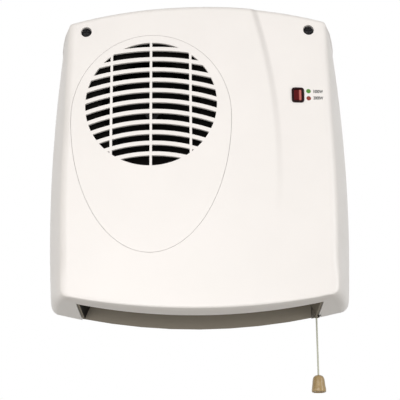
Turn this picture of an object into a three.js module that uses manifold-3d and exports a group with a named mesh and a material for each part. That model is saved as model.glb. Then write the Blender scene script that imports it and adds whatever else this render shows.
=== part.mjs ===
// Bathroom wall fan heater with a pull cord.
// Units are millimetres. The origin lies on the wall face at the middle of the outline,
// +X is to the right seen from the room, +Y points into the wall and +Z is up.

import * as THREE from 'three';
import { mergeVertices } from 'three/addons/utils/BufferGeometryUtils.js';
import Module from 'manifold-3d';

const wasm = await Module();
wasm.setup();

// ---------------------------------------------------------------- driving dimensions

// outline of the front cover at the wall, four arcs
const HALF_WIDTH = 132.4;
const HALF_HEIGHT = 136;
const SIDE_ARC_RADIUS = 1280;
const SIDE_ARC_Z = -34;
const TOP_ARC_RADIUS = 485;
const BOTTOM_ARC_RADIUS = 510;
const TOP_CORNER_RADIUS = 3.5;
const BOTTOM_CORNER_RADIUS = 10;

// how far the sides and the underside draw in from the wall to the face
const SIDE_FLARE = 15;
const BOTTOM_FLARE = 1.8;

// depth and face of the cover
const COVER_DEPTH = 88;
const CROWN = 9;
const FACE_LEAN = 0.03;
const COVER_WALL = 2.6;
const WALL_SHADOW_GAP = 1.2;
const SIDE_FILLET = 9;
const TOP_FILLET = 5;
const BOTTOM_FILLET = 2.2;
const CORNER_FILLET = 6;

// the face swells to the right up to a long arc and falls back behind it
const CREASE_X = HALF_WIDTH - 64.4;
const CREASE_Z = -7;
const CREASE_RADIUS = 508;
const CREASE_BAND = 6;
const CREASE_STEP = 1.6;
const CREASE_SWELL_X = -10;
const CREASE_FADE_Z = -60;

// shading rings, bobbin and cups of the motor
const SHADING_X = 8.5;
const SHADING_Z = 13.6;
const SHADING_WIDTH = 2;
const SHADING_LENGTH = 4;
const BOBBIN_FLANGE = 1;
const CUP_REACH = 1.4;

// small parts
const GUARD_RIM = 2;
const FUSE_LEAD_RADIUS = 0.5;
const WIRE_ENTRY_RADIUS = 2.2;
const TERMINAL_SCREW_RADIUS = 1.8;
const CLAMP_STAND = 6;
const CLAMP_SCREW_SPACING = 9;
const CLAMP_SCREW_RADIUS = 1.5;
const CLAMP_SCREW_HEAD_RADIUS = 2.8;
const SWITCH_TAB_COUNT = 3;
const CORD_SIDES = 8;

// running and assembly clearances
const FIT_GAP = 0.3;
const PARTING_GAP = 0.4;

// intake grille insert: two half ellipses
const EGG_X = 92.3 - HALF_WIDTH;
const EGG_Z = HALF_HEIGHT - 102.1;
const EGG_HALF_WIDTH = 68.7;
const EGG_TOP = 74.4;
const EGG_BOTTOM = 121.1;
const GRILLE_WALL = 2.6;
const FAN_X = EGG_X;
const FAN_Z = EGG_Z + 11;
const GRILLE_RADIUS = 56.2;
const BAR_COUNT = 11;
const BAR_HEIGHT = 3.5;
const BAR_PITCH = 9.59;
const TOP_BAR_RISE = 48.7;
const BAR_ARC_CENTRE_DROP = 166.6;
const RIB_COUNT = 3;
const RIB_WIDTH = 2.1;
const RIB_PITCH = 33.8;
const CLIP_TURNS = [0, 60, 120, 205, 245, 300];
const CLIP_WIDTH = 8;
const CLIP_REACH = 2.8;
const CLIP_THICK = 1.2;

// outlet mouth in the underside
const MOUTH_HALF_WIDTH = HALF_WIDTH - 29.9;
const MOUTH_FRONT_Y = 26 - COVER_DEPTH;
const MOUTH_REAR_Y = -5;
const MOUTH_CORNER_RADIUS = 0.8;
const MOUTH_RECESS = 0.6;
const THROAT_HALF_WIDTH = MOUTH_HALF_WIDTH - 8.4;
const THROAT_Z = 24 - HALF_HEIGHT;
const THROAT_LENGTH = 4;
const THROAT_FRONT_Y = MOUTH_FRONT_Y + 1;
const THROAT_REAR_Y = -6.5;
const NOZZLE_WALL = 2;

// guard across the throat
const GUARD_BAR = 1.6;
const GUARD_DEPTH = 2.4;
const GUARD_SLATS = 16;
const GUARD_CROSS_COUNT = 2;

// rear housing
const PLATE_THICK = 2.6;
const TRAY_WALL = 2.2;
const TRAY_HEIGHT = 30;
const TRAY_CLEARANCE = 0.7;
const TRAY_TAPER = 0.24;
const TRAY_RISE = 0.05;
const TRAY_CUT_RISE = 36;
const KEYHOLE_X = HALF_WIDTH - 48.4;
const KEYHOLE_Z = HALF_HEIGHT - 44;
const KEYHOLE_HEAD_RADIUS = 4.6;
const KEYHOLE_SLOT_RADIUS = 2.3;
const KEYHOLE_DROP = 9;
const LOWER_FIXING_Z = 48 - HALF_HEIGHT;
const LOWER_FIXING_RADIUS = 2.4;

// screws through the face
const COVER_SCREW_X = HALF_WIDTH - 35.9;
const COVER_SCREW_Z = HALF_HEIGHT - 22.4;
const COVER_SCREW_HEAD_RADIUS = 4.3;
const COVER_SCREW_HEAD_HEIGHT = 3;
const COVER_SCREW_SHANK_RADIUS = 1.9;
const COVER_SCREW_LENGTH = 26;
const COUNTERBORE_RADIUS = 4.7;
const COUNTERBORE_FLOOR_Y = 16.5 - COVER_DEPTH;
const BOSS_FLOOR = 3;
const BOSS_RADIUS = 7.2;
const POST_RADIUS = 5.4;
const SCREW_DRIVE_WIDTH = 1;
const SCREW_DRIVE_DEPTH = 1.3;

// blower
const INLET_PLATE_Y = 16.3 - COVER_DEPTH;
const IMPELLER_RADIUS = 51;
const IMPELLER_EYE_RADIUS = 43.5;
const IMPELLER_FRONT_Y = INLET_PLATE_Y + 1.7;
const IMPELLER_REAR_Y = -41.5;
const BLADE_COUNT = 28;
const BLADE_THICK = 1.2;
const BLADE_SWEEP = 5.5;
const IMPELLER_DISC = 1.5;
const IMPELLER_RING = 1.6;
const HUB_RADIUS = 8;
const HUB_LENGTH = 15;
const SCROLL_REAR_Y = -38;
const SCROLL_WALL = 2;
const SCROLL_TONGUE_GAP = 4;
const SCROLL_GROWTH = 21;
const SCROLL_TONGUE_DEG = 238;
const SCROLL_POSTS = [[-47.2, 33.4], [50.8, 35.4], [-25.2, -58.6], [79.8, -58.6]]
  .map(([x, z]) => [FAN_X + x, FAN_Z + z]);
const SCROLL_POST_RADIUS = 4;
const SCROLL_SCREW_RADIUS = 1.4;
const SCROLL_SCREW_HEAD_RADIUS = 2.8;
const SCROLL_SCREW_HEAD_HEIGHT = 1.6;
const SCROLL_SCREW_LENGTH = 10;
const INLET_PLATE_THICK = 1.8;
const INLET_RADIUS = 42;
const INLET_LIP = 3.4;

// motor
const MOTOR_Y = -21;
const STACK_LENGTH = 16;
const STATOR_WIDTH = 46;
const STATOR_RISE = 19;
const STATOR_DROP = 43;
const STATOR_BORE = 11.6;
const STATOR_CORNER = 3;
const AIR_GAP = 0.4;
const YOKE_HEIGHT = 12;
const WINDOW_HALF_WIDTH = 13.6;
const WINDOW_TOP_DROP = 15.5;
const COIL_BUILD = 5.2;
const BOBBIN_WALL = 0.8;
const SHAFT_RADIUS = 2.4;
const SHAFT_REAR_Y = -5;
const SHAFT_FRONT_Y = IMPELLER_REAR_Y - HUB_LENGTH - 6.5;
const BUSH_RADIUS = 4.6;
const BUSH_LENGTH = 5.2;
const BRACKET_THICK = 1.5;
const BRACKET_STAND = 4.2;
const BRACKET_WIDTH = 14;
const MOTOR_SCREW_SPACING = 17.5;
const MOTOR_SCREW_RADIUS = 1.6;
const MOTOR_SCREW_HEAD_RADIUS = 3;
const MOTOR_SCREW_HEAD_HEIGHT = 2;
const END_RING_RADIUS = 10;
const END_RING_LENGTH = 2;

// heater
const HEATER_TOP_Z = FAN_Z - 70.6;
const HEATER_HEIGHT = 40;
const HEATER_LEFT_X = FAN_X - 43.2;
const HEATER_RIGHT_X = FAN_X + 102.8;
const HEATER_FRONT_Y = INLET_PLATE_Y + 0.2;
const HEATER_REAR_Y = -36;
const HEATER_WALL = 3;
const PTC_COUNT = 2;
const PTC_THICK = 3.5;
const PTC_HEIGHT = 22;
const FIN_FOLDS = 40;
const FIN_THICK = 1;
const TAB_WIDTH = 6.3;
const TAB_THICK = 0.8;
const TAB_LENGTH = 9;
const CUTOUT_RADIUS = 8;
const CUTOUT_HEIGHT = 6;
const FUSE_RADIUS = 2.2;
const FUSE_LENGTH = 13;

// pull switch and cord
const CORD_X = HALF_WIDTH - 31.7;
const CORD_Y = -8.5;
const CORD_RADIUS = 0.75;
const LEVER_ARM = 14;
const CORD_BOSS_TOP_Z = 22 - HALF_HEIGHT;
const LEVER_Z = CORD_BOSS_TOP_Z + 26;
const LEVER_REST_DEG = 12.3;
const LEVER_THICK = 2;
const LEVER_WIDTH = 5;
const LEVER_EYE_RADIUS = 3.6;
const LEVER_EYE_BORE = 1.7;
const PIVOT_RADIUS = 1.5;
const SWITCH_WIDTH = 26;
const SWITCH_HEIGHT = 28;
const SWITCH_DEPTH = 20;
const SWITCH_FOOT_RISE = 10.5;
const EAR_THICK = 2.4;
const EAR_HALF_WIDTH = 3.2;
const FINGER_X = 6;
const FINGER_WIDTH = 2;
const FINGER_SLOT = 3.2;
const KNOT_RADIUS = 2.3;
const CORD_BUSH_RADIUS = 2.2;
const CORD_BUSH_BORE = 1.2;
const CORD_BUSH_FLANGE_RADIUS = 2.7;
const CORD_BUSH_FLANGE = 0.6;
const CORD_BOSS_HALF_WIDTH = 3.7;
const FREE_CORD_LENGTH = 50.1;
const CORD_STEPS = 17;
const ACORN_HEIGHT = 14.5;
const ACORN_RADIUS = 6.2;
const ACORN_NECK_RADIUS = 2.4;
const ACORN_BORE = 1.05;

// wiring parts
const GROMMET_Z = LEVER_Z + 52;
const CLAMP_Z = GROMMET_Z + 16;
const BLOCK_X = CORD_X - 13.6;
const BLOCK_Z = GROMMET_Z + 40;
const BLOCK_WIDTH = 30;
const BLOCK_HEIGHT = 20;
const BLOCK_DEPTH = 15;
const BLOCK_STEP = 3;
const BLOCK_GROOVE = 1;
const TERMINAL_COUNT = 3;
const CABLE_RADIUS = 4;
const GROMMET_RADIUS = 7;
const CLAMP_WIDTH = 26;
const CLAMP_HEIGHT = 8;
const CLAMP_THICK = 2.4;

// indicator
const INDICATOR_X = HALF_WIDTH - 47.2;
const INDICATOR_Z = HALF_HEIGHT - 84.1;
const BEZEL_WIDTH = 10.7;
const BEZEL_HEIGHT = 13.6;
const BEZEL_FLANGE = 1.1;
const BEZEL_PROUD = 0.7;
const BEZEL_CORNER = 2.4;
const BEZEL_BODY_WALL = 1;
const BEZEL_BODY_DEPTH = 12;
const LENS_WIDTH = 7;
const LENS_HEIGHT = 9.4;
const LENS_DEPTH = 7;
const LAMP_RADIUS = 1.8;
const LAMP_LENGTH = 12;

// sampling of lofts, spirals and corners
const CORNER_SHARES = [0, 0.25, 0.6, 1.1];
const CORNER_COLUMN_SHARE = 0.05;
const NOZZLE_STEPS = 8;
const SCROLL_STEPS = 20;

// facets
const ARC_SEGMENTS = 12;
const SMALL_ARC_SEGMENTS = 2;
const EGG_SEGMENTS = 17;
const BAR_SEGMENTS = 6;
const CYLINDER_SEGMENTS = 20;
const IMPELLER_SEGMENTS = 42;
const GRILLE_CIRCLE_SEGMENTS = 44;
const SMALL_SEGMENTS = 12;

// ---------------------------------------------------------------- solids

// six times the volume inside the faces, negative where they point inwards
function signedVolume(positions, indices) {
  const corner = [new THREE.Vector3(), new THREE.Vector3(), new THREE.Vector3()];
  let volume = 0;
  for (let i = 0; i < indices.length; i += 3) {
    corner.forEach((point, k) => point.fromArray(positions, 3 * indices[i + k]));
    volume += corner[0].dot(corner[1].cross(corner[2]));
  }
  return volume;
}

const asSolid = (geometry) => {
  const bare = geometry.index ? geometry.toNonIndexed() : geometry.clone();
  bare.deleteAttribute('normal');
  bare.deleteAttribute('uv');
  const merged = mergeVertices(bare, 1e-4);
  const vertProperties = new Float32Array(merged.attributes.position.array);
  const triVerts = new Uint32Array(merged.index.array);
  if (signedVolume(vertProperties, triVerts) < 0) triVerts.reverse();
  return new wasm.Manifold(new wasm.Mesh({ numProp: 3, vertProperties, triVerts }));
};

const asGeometry = (solid) => {
  const mesh = solid.getMesh();
  const geometry = new THREE.BufferGeometry();
  geometry.setAttribute('position', new THREE.BufferAttribute(mesh.vertProperties, 3));
  geometry.setIndex(new THREE.BufferAttribute(mesh.triVerts, 1));
  const flat = geometry.toNonIndexed();
  flat.computeVertexNormals();
  return flat;
};

const join = (first, ...others) => others.reduce((sum, other) => sum.add(other), first);
const cut = (first, ...others) => others.reduce((rest, other) => rest.subtract(other), first);

const radians = THREE.MathUtils.degToRad;

function box(x0, x1, y0, y1, z0, z1) {
  const geometry = new THREE.BoxGeometry(x1 - x0, y1 - y0, z1 - z0);
  geometry.translate((x0 + x1) / 2, (y0 + y1) / 2, (z0 + z1) / 2);
  return asSolid(geometry);
}

// a plane shape drawn in X and Z, standing from rearY forward to frontY
function plate(shape, rearY, frontY, curveSegments = ARC_SEGMENTS) {
  const geometry = new THREE.ExtrudeGeometry(shape, {
    depth: rearY - frontY, bevelEnabled: false, curveSegments,
  });
  geometry.rotateX(Math.PI / 2).translate(0, rearY, 0);
  return asSolid(geometry);
}

// a round bar along Y
function barY(x, z, radius, rearY, frontY, segments = CYLINDER_SEGMENTS) {
  const geometry = new THREE.CylinderGeometry(radius, radius, rearY - frontY, segments);
  geometry.translate(x, (rearY + frontY) / 2, z);
  return asSolid(geometry);
}

// a round bar along Z
function barZ(x, y, radius, z0, z1, segments = CYLINDER_SEGMENTS) {
  const geometry = new THREE.CylinderGeometry(radius, radius, z1 - z0, segments);
  geometry.rotateX(Math.PI / 2).translate(x, y, (z0 + z1) / 2);
  return asSolid(geometry);
}

// a round bar along X
function barX(y, z, radius, x0, x1, segments = CYLINDER_SEGMENTS) {
  const geometry = new THREE.CylinderGeometry(radius, radius, x1 - x0, segments);
  geometry.rotateZ(Math.PI / 2).translate((x0 + x1) / 2, y, z);
  return asSolid(geometry);
}

// a revolved profile of [radius, height] pairs about the Y axis through x, z
function turnedY(x, z, profile, segments = CYLINDER_SEGMENTS) {
  const points = profile.map(([radius, height]) => new THREE.Vector2(radius, height));
  const geometry = new THREE.LatheGeometry(points, segments);
  geometry.translate(x, 0, z);
  return asSolid(geometry);
}

// a revolved profile of [radius, height] pairs about the Z axis through x, y
function turnedZ(x, y, profile, segments = CYLINDER_SEGMENTS) {
  const points = profile.map(([radius, height]) => new THREE.Vector2(radius, height));
  const geometry = new THREE.LatheGeometry(points, segments);
  geometry.rotateX(Math.PI / 2).translate(x, y, 0);
  return asSolid(geometry);
}

function roundedRect(x0, x1, z0, z1, radius) {
  const shape = new THREE.Shape();
  shape.moveTo(x0 + radius, z0);
  shape.lineTo(x1 - radius, z0);
  shape.absarc(x1 - radius, z0 + radius, radius, -Math.PI / 2, 0);
  shape.lineTo(x1, z1 - radius);
  shape.absarc(x1 - radius, z1 - radius, radius, 0, Math.PI / 2);
  shape.lineTo(x0 + radius, z1);
  shape.absarc(x0 + radius, z1 - radius, radius, Math.PI / 2, Math.PI);
  shape.lineTo(x0, z0 + radius);
  shape.absarc(x0 + radius, z0 + radius, radius, Math.PI, Math.PI * 1.5);
  return shape;
}

// ---------------------------------------------------------------- cover outline and face

const sideX = (z) => HALF_WIDTH - SIDE_ARC_RADIUS
  + Math.sqrt(SIDE_ARC_RADIUS ** 2 - (z - SIDE_ARC_Z) ** 2);
const topZ = (x) => HALF_HEIGHT - TOP_ARC_RADIUS + Math.sqrt(TOP_ARC_RADIUS ** 2 - x ** 2);
const bottomZ = (x) => -HALF_HEIGHT + BOTTOM_ARC_RADIUS
  - Math.sqrt(BOTTOM_ARC_RADIUS ** 2 - x ** 2);
const creaseX = (z) => CREASE_X - CREASE_RADIUS
  + Math.sqrt(CREASE_RADIUS ** 2 - (z - CREASE_Z) ** 2);

const { clamp, smoothstep } = THREE.MathUtils;

// how far the face swells out before the crease, less further down
function creaseSwell(x, z) {
  const ridge = creaseX(z) - CREASE_BAND / 2;
  const rise = smoothstep(x, CREASE_SWELL_X, ridge);
  const fall = smoothstep(x, ridge, ridge + CREASE_BAND);
  const along = clamp((z - CREASE_FADE_Z) / (HALF_HEIGHT - CREASE_FADE_Z), 0, 1);
  return CREASE_STEP * (rise - fall) * along;
}

const faceY = (x, z) => -(COVER_DEPTH - CROWN * (x / HALF_WIDTH) ** 2
  - FACE_LEAN * (z + HALF_HEIGHT)) - creaseSwell(x, z);

// the underside of the cover, which rises a little towards the face
const undersideZ = (x, y) => bottomZ(x) + BOTTOM_FLARE * (-WALL_SHADOW_GAP - y)
  / (COVER_DEPTH - BOTTOM_FILLET - WALL_SHADOW_GAP);

// the sharp corner where the inset side arc meets the inset top or bottom arc
function cornerPoint(isTop, sideInset, endInset) {
  let x = HALF_WIDTH - sideInset;
  let z = 0;
  for (let pass = 0; pass < 6; pass += 1) {
    z = isTop ? topZ(x) - endInset : bottomZ(x) + endInset;
    x = sideX(z) - sideInset;
  }
  return { x, z };
}

// fractions along an edge, finer towards its first end
function columnShares(cornerShare, restCount) {
  const near = CORNER_SHARES.map((share) => share * cornerShare);
  const from = near.at(-1);
  const rest = [];
  for (let i = 1; i <= restCount; i += 1) rest.push(from + (1 - from) * i / restCount);
  return [...near, ...rest];
}

// fractions along an edge, finer towards both ends for the corner arcs
function edgeFractions(length, startRadius, endRadius, middleCount) {
  const start = CORNER_SHARES.map((share) => share * startRadius / length);
  const end = CORNER_SHARES.map((share) => 1 - share * endRadius / length).reverse();
  const from = start.at(-1);
  const to = end[0];
  const middle = [];
  for (let i = 1; i < middleCount; i += 1) middle.push(from + (to - from) * i / middleCount);
  return [...start, ...middle, ...end];
}

const ROWS = edgeFractions(2 * HALF_HEIGHT, BOTTOM_CORNER_RADIUS, TOP_CORNER_RADIUS, 7);
const LEFT_COLUMNS = columnShares(CORNER_COLUMN_SHARE, 7);
const RIGHT_COLUMNS = columnShares(CORNER_COLUMN_SHARE * 2.4, 3).map((share) => 1 - share).reverse();

// x of every grid column on a row whose ends are given and that meets the crease near z
function columnXs(leftX, rightX, z) {
  const bandLeft = creaseX(z) - CREASE_BAND / 2;
  const bandRight = creaseX(z) + CREASE_BAND / 2;
  const left = LEFT_COLUMNS.map((share) => leftX + share * (bandLeft - leftX));
  const right = RIGHT_COLUMNS.map((share) => bandRight + share * (rightX - bandRight));
  return [...left, (bandLeft + bandRight) / 2, ...right];
}

// rows of points over the outline drawn in by the given insets
function outlineGrid(sideInset, topInset, bottomInset) {
  const low = cornerPoint(false, sideInset, bottomInset);
  const high = cornerPoint(true, sideInset, topInset);
  return ROWS.map((share) => {
    const edgeZ = low.z + share * (high.z - low.z);
    const edgeX = sideX(edgeZ) - sideInset;
    return columnXs(-edgeX, edgeX, edgeZ).map((x) => {
      const across = x / edgeX;
      const lowZ = bottomZ(across * low.x) + bottomInset;
      const highZ = topZ(across * high.x) - topInset;
      return { x, z: lowZ + share * (highZ - lowZ) };
    });
  });
}

// the grid's border, counter-clockwise seen from the room
function borderOf(grid) {
  const lastRow = grid.length - 1;
  const lastColumn = grid[0].length - 1;
  const border = [];
  for (let i = 0; i < lastColumn; i += 1) border.push(grid[0][i]);
  for (let j = 0; j < lastRow; j += 1) border.push(grid[j][lastColumn]);
  for (let i = lastColumn; i > 0; i -= 1) border.push(grid[lastRow][i]);
  for (let j = lastRow; j > 0; j -= 1) border.push(grid[j][0]);
  return border;
}

// draws border points near a corner in to its arc
function roundCorners(border, sideInset, topInset, bottomInset) {
  const corners = [];
  for (const isTop of [false, true]) {
    const endInset = isTop ? topInset : bottomInset;
    const nominal = isTop ? TOP_CORNER_RADIUS : BOTTOM_CORNER_RADIUS;
    const radius = Math.max(nominal - Math.min(sideInset, endInset), 0.8);
    const centre = cornerPoint(isTop, sideInset + radius, endInset + radius);
    const slope = isTop
      ? -centre.x / Math.sqrt(TOP_ARC_RADIUS ** 2 - centre.x ** 2)
      : centre.x / Math.sqrt(BOTTOM_ARC_RADIUS ** 2 - centre.x ** 2);
    for (const side of [-1, 1]) corners.push({ isTop, side, radius, centre, slope });
  }
  return border.map((point) => {
    for (const { isTop, side, radius, centre, slope } of corners) {
      const dx = side * point.x - centre.x;
      const dz = point.z - centre.z;
      const past = isTop ? dz > 0 : dz < 0;
      if (past && dx + dz * slope > 0) {
        const scale = radius / Math.hypot(dx, dz);
        return { x: side * (centre.x + dx * scale), z: centre.z + dz * scale };
      }
    }
    return point;
  });
}

// how far the fillet reaches back at each border point
function filletReach(border, shrink) {
  const low = cornerPoint(false, SIDE_FLARE, BOTTOM_FLARE);
  const high = cornerPoint(true, SIDE_FLARE, 0);
  return border.map((point) => {
    const fromTop = high.z - point.z;
    const fromBottom = point.z - low.z;
    const fromEnd = Math.min(fromTop, fromBottom);
    const fromSide = sideX(point.z) - SIDE_FLARE - Math.abs(point.x);
    const nearEnd = smoothstep(fromSide, SIDE_FILLET, 3 * SIDE_FILLET);
    const endReach = fromTop < fromBottom ? TOP_FILLET : BOTTOM_FILLET;
    const alongSide = smoothstep(fromEnd, SIDE_FILLET, 4 * SIDE_FILLET);
    const corner = fromTop < fromBottom ? CORNER_FILLET : (CORNER_FILLET + BOTTOM_FILLET) / 2;
    const onSide = corner + alongSide * (SIDE_FILLET - corner);
    const reach = onSide + nearEnd * (endReach - onSide);
    return Math.max(reach - shrink, 0.6);
  });
}

// the closed body of the cover drawn in by inset all round and in front
function coverBlank(inset, rearY, steps) {
  const side = Math.max(SIDE_FILLET - inset, 1.5);
  const top = Math.max(TOP_FILLET - inset, 1.2);
  const bottom = Math.max(BOTTOM_FILLET - inset, 0.8);
  const insetsAt = (flare, left) => [
    inset + SIDE_FLARE * flare + side * left,
    inset + top * left,
    inset + BOTTOM_FLARE * flare + bottom * left,
  ];
  const grid = outlineGrid(...insetsAt(1, 1));
  const edge = roundCorners(borderOf(grid), ...insetsAt(1, 1));
  const reach = filletReach(edge, inset);
  const edgeYs = edge.map((point) => faceY(point.x, point.z) + inset);
  const rings = [];
  for (let step = 0; step <= steps; step += 1) {
    const angle = Math.PI / 2 * step / steps;
    const border = step === 0 ? edge : roundedBorder(insetsAt(1, 1 - Math.sin(angle)));
    const back = 1 - Math.cos(angle);
    rings.push(border.map((point, i) => [point.x, edgeYs[i] + reach[i] * back, point.z]));
  }
  const beyondWall = (rearY + WALL_SHADOW_GAP) / COVER_DEPTH;
  rings.push(roundedBorder(insetsAt(-beyondWall, 0)).map((point) => [point.x, rearY, point.z]));
  const faceRows = grid.map((row) => row.map(({ x, z }) => [x, faceY(x, z) + inset, z]));
  const front = faceFacets(faceRows, rings[0]);
  return asSolid(surfaceOf([...front, ...wallFacets(rings), ...fan(rings.at(-1), 1)]));
}

const roundedBorder = (insets) => roundCorners(borderOf(outlineGrid(...insets)), ...insets);

// two triangles over four corners
const quad = (p, q, r, s) => [...p, ...q, ...r, ...p, ...r, ...s];

// the facets of the face, whose outer points are those of the border
function faceFacets(rows, border) {
  const lastRow = rows.length - 1;
  const lastColumn = rows[0].length - 1;
  let b = 0;
  for (let i = 0; i < lastColumn; i += 1) rows[0][i] = border[b++];
  for (let j = 0; j < lastRow; j += 1) rows[j][lastColumn] = border[b++];
  for (let i = lastColumn; i > 0; i -= 1) rows[lastRow][i] = border[b++];
  for (let j = lastRow; j > 0; j -= 1) rows[j][0] = border[b++];
  const facets = [];
  for (let j = 0; j < lastRow; j += 1) {
    for (let i = 0; i < lastColumn; i += 1) {
      facets.push(...quad(rows[j][i], rows[j][i + 1], rows[j + 1][i + 1], rows[j + 1][i]));
    }
  }
  return facets;
}

// the facets between one ring and the next, from front to rear
function wallFacets(rings) {
  const facets = [];
  for (let k = 0; k + 1 < rings.length; k += 1) {
    rings[k].forEach((point, i) => {
      const next = (i + 1) % rings[k].length;
      facets.push(...quad(rings[k + 1][i], rings[k + 1][next], rings[k][next], point));
    });
  }
  return facets;
}

// the flat end of a body round its middle, facing the wall (1) or the room (-1)
function fan(ring, facing) {
  const centre = [0, ring[0][1], 0];
  return ring.flatMap((point, i) => {
    const next = ring[(i + 1) % ring.length];
    return facing > 0 ? [...centre, ...next, ...point] : [...centre, ...point, ...next];
  });
}

function surfaceOf(vertices) {
  const geometry = new THREE.BufferGeometry();
  geometry.setAttribute('position', new THREE.Float32BufferAttribute(vertices, 3));
  return geometry;
}

// a body of the outline drawn in by inset, whose sides lean in with the flared cover
function outlineTray(inset, rearY, frontY) {
  const rings = [frontY, rearY].map((y) => {
    const border = roundedBorder([inset - y * TRAY_TAPER, inset, inset - y * TRAY_RISE]);
    return border.map((point) => [point.x, y, point.z]);
  });
  return asSolid(surfaceOf([...fan(rings[0], -1), ...wallFacets(rings), ...fan(rings[1], 1)]));
}

function eggShape(inset) {
  const shape = new THREE.Shape();
  shape.absellipse(EGG_X, EGG_Z, EGG_HALF_WIDTH - inset, EGG_TOP - inset, 0, Math.PI);
  shape.absellipse(EGG_X, EGG_Z, EGG_HALF_WIDTH - inset, EGG_BOTTOM - inset, Math.PI, 2 * Math.PI);
  return shape;
}

const BEYOND_FRONT_Y = -COVER_DEPTH - 10;
const BEYOND_REAR_Y = 10;
const BEHIND_FACE_Y = 38 - COVER_DEPTH;
const coverOuter = coverBlank(0, -WALL_SHADOW_GAP, 4);
const coverInner = coverBlank(COVER_WALL, 5, 1);

// ---------------------------------------------------------------- cover and grille

function frontCover() {
  let solid = coverOuter.subtract(coverInner);
  for (const side of [-1, 1]) {
    const x = side * COVER_SCREW_X;
    const boss = barY(x, COVER_SCREW_Z, BOSS_RADIUS, COUNTERBORE_FLOOR_Y + BOSS_FLOOR, BEYOND_FRONT_Y);
    solid = solid.add(boss.intersect(coverOuter));
  }
  for (const side of [-1, 1]) {
    const x = side * COVER_SCREW_X;
    solid = cut(
      solid,
      barY(x, COVER_SCREW_Z, COUNTERBORE_RADIUS, COUNTERBORE_FLOOR_Y, BEYOND_FRONT_Y),
      barY(x, COVER_SCREW_Z, COVER_SCREW_SHANK_RADIUS + FIT_GAP, BEHIND_FACE_Y, BEYOND_FRONT_Y),
    );
  }
  solid = solid.subtract(plate(eggShape(0), BEHIND_FACE_Y, BEYOND_FRONT_Y, EGG_SEGMENTS));
  const windowHalfWidth = BEZEL_WIDTH / 2 - BEZEL_FLANGE + FIT_GAP;
  const windowHalfHeight = BEZEL_HEIGHT / 2 - BEZEL_FLANGE + FIT_GAP;
  solid = solid.subtract(box(
    INDICATOR_X - windowHalfWidth, INDICATOR_X + windowHalfWidth, BEYOND_FRONT_Y, BEHIND_FACE_Y,
    INDICATOR_Z - windowHalfHeight, INDICATOR_Z + windowHalfHeight,
  ));
  return cut(solid, mouthCut(), cordBossBlock(FIT_GAP, 5));
}

// the U-shaped opening in the underside, open towards the wall
function mouthCut() {
  const width = MOUTH_HALF_WIDTH;
  const shape = roundedRect(-width, width, MOUTH_FRONT_Y, BEYOND_REAR_Y, MOUTH_CORNER_RADIUS);
  const geometry = new THREE.ExtrudeGeometry(shape, {
    depth: 30, bevelEnabled: false, curveSegments: SMALL_ARC_SEGMENTS,
  });
  geometry.translate(0, 0, -HALF_HEIGHT - 12);
  return asSolid(geometry);
}

function intakeGrille() {
  const skin = coverOuter.subtract(coverBlank(GRILLE_WALL, 5, 1));
  let solid = skin.intersect(plate(eggShape(PARTING_GAP), BEHIND_FACE_Y, BEYOND_FRONT_Y, EGG_SEGMENTS));
  let slots = barY(FAN_X, FAN_Z, GRILLE_RADIUS, BEHIND_FACE_Y, BEYOND_FRONT_Y, GRILLE_CIRCLE_SEGMENTS);
  const arcCentreZ = FAN_Z - BAR_ARC_CENTRE_DROP;
  for (let bar = 0; bar < BAR_COUNT; bar += 1) {
    const lowRadius = FAN_Z + TOP_BAR_RISE - bar * BAR_PITCH - arcCentreZ;
    slots = slots.subtract(arcBar(FAN_X, arcCentreZ, lowRadius, lowRadius + BAR_HEIGHT));
  }
  for (let rib = 0; rib < RIB_COUNT; rib += 1) {
    const x = FAN_X + (rib - (RIB_COUNT - 1) / 2) * RIB_PITCH;
    slots = slots.subtract(box(
      x - RIB_WIDTH / 2, x + RIB_WIDTH / 2, BEYOND_FRONT_Y - 1, BEHIND_FACE_Y + 1,
      FAN_Z - GRILLE_RADIUS - 1, FAN_Z + GRILLE_RADIUS + 1,
    ));
  }
  solid = solid.subtract(slots);
  return join(solid, ...CLIP_TURNS.map((turn) => grilleClip(radians(turn))));
}

// one curved bar of the grille, drawn across the whole circle
function arcBar(x, z, innerRadius, outerRadius) {
  const half = Math.asin((GRILLE_RADIUS + 2) / innerRadius);
  const shape = new THREE.Shape();
  shape.absarc(x, z, outerRadius, Math.PI / 2 - half, Math.PI / 2 + half, false);
  shape.absarc(x, z, innerRadius, Math.PI / 2 + half, Math.PI / 2 - half, true);
  return plate(shape, BEHIND_FACE_Y + 1, BEYOND_FRONT_Y - 1, BAR_SEGMENTS);
}

// a lug on the back of the insert that hooks behind the cover
function grilleClip(angle) {
  const drop = Math.sin(angle) > 0 ? EGG_TOP : EGG_BOTTOM;
  const x = EGG_X + (EGG_HALF_WIDTH - PARTING_GAP) * Math.cos(angle);
  const z = EGG_Z + (drop - PARTING_GAP) * Math.sin(angle);
  const outward = Math.atan2(EGG_HALF_WIDTH * Math.sin(angle), drop * Math.cos(angle));
  const rootY = faceY(x, z) + GRILLE_WALL;
  const hookY = faceY(x, z) + COVER_WALL + PARTING_GAP;
  const rootDepth = GRILLE_WALL / 2;
  const stem = new THREE.BoxGeometry(CLIP_THICK, hookY - rootY + CLIP_THICK + rootDepth, CLIP_WIDTH);
  stem.translate(-CLIP_THICK / 2 - PARTING_GAP, (rootY - rootDepth + hookY + CLIP_THICK) / 2, 0);
  const hook = new THREE.BoxGeometry(CLIP_REACH, CLIP_THICK, CLIP_WIDTH);
  hook.translate(CLIP_REACH / 2 - CLIP_THICK - PARTING_GAP, hookY + CLIP_THICK / 2, 0);
  const place = new THREE.Matrix4().makeRotationY(-outward).setPosition(x, 0, z);
  return join(asSolid(stem.applyMatrix4(place)), asSolid(hook.applyMatrix4(place)));
}

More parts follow.
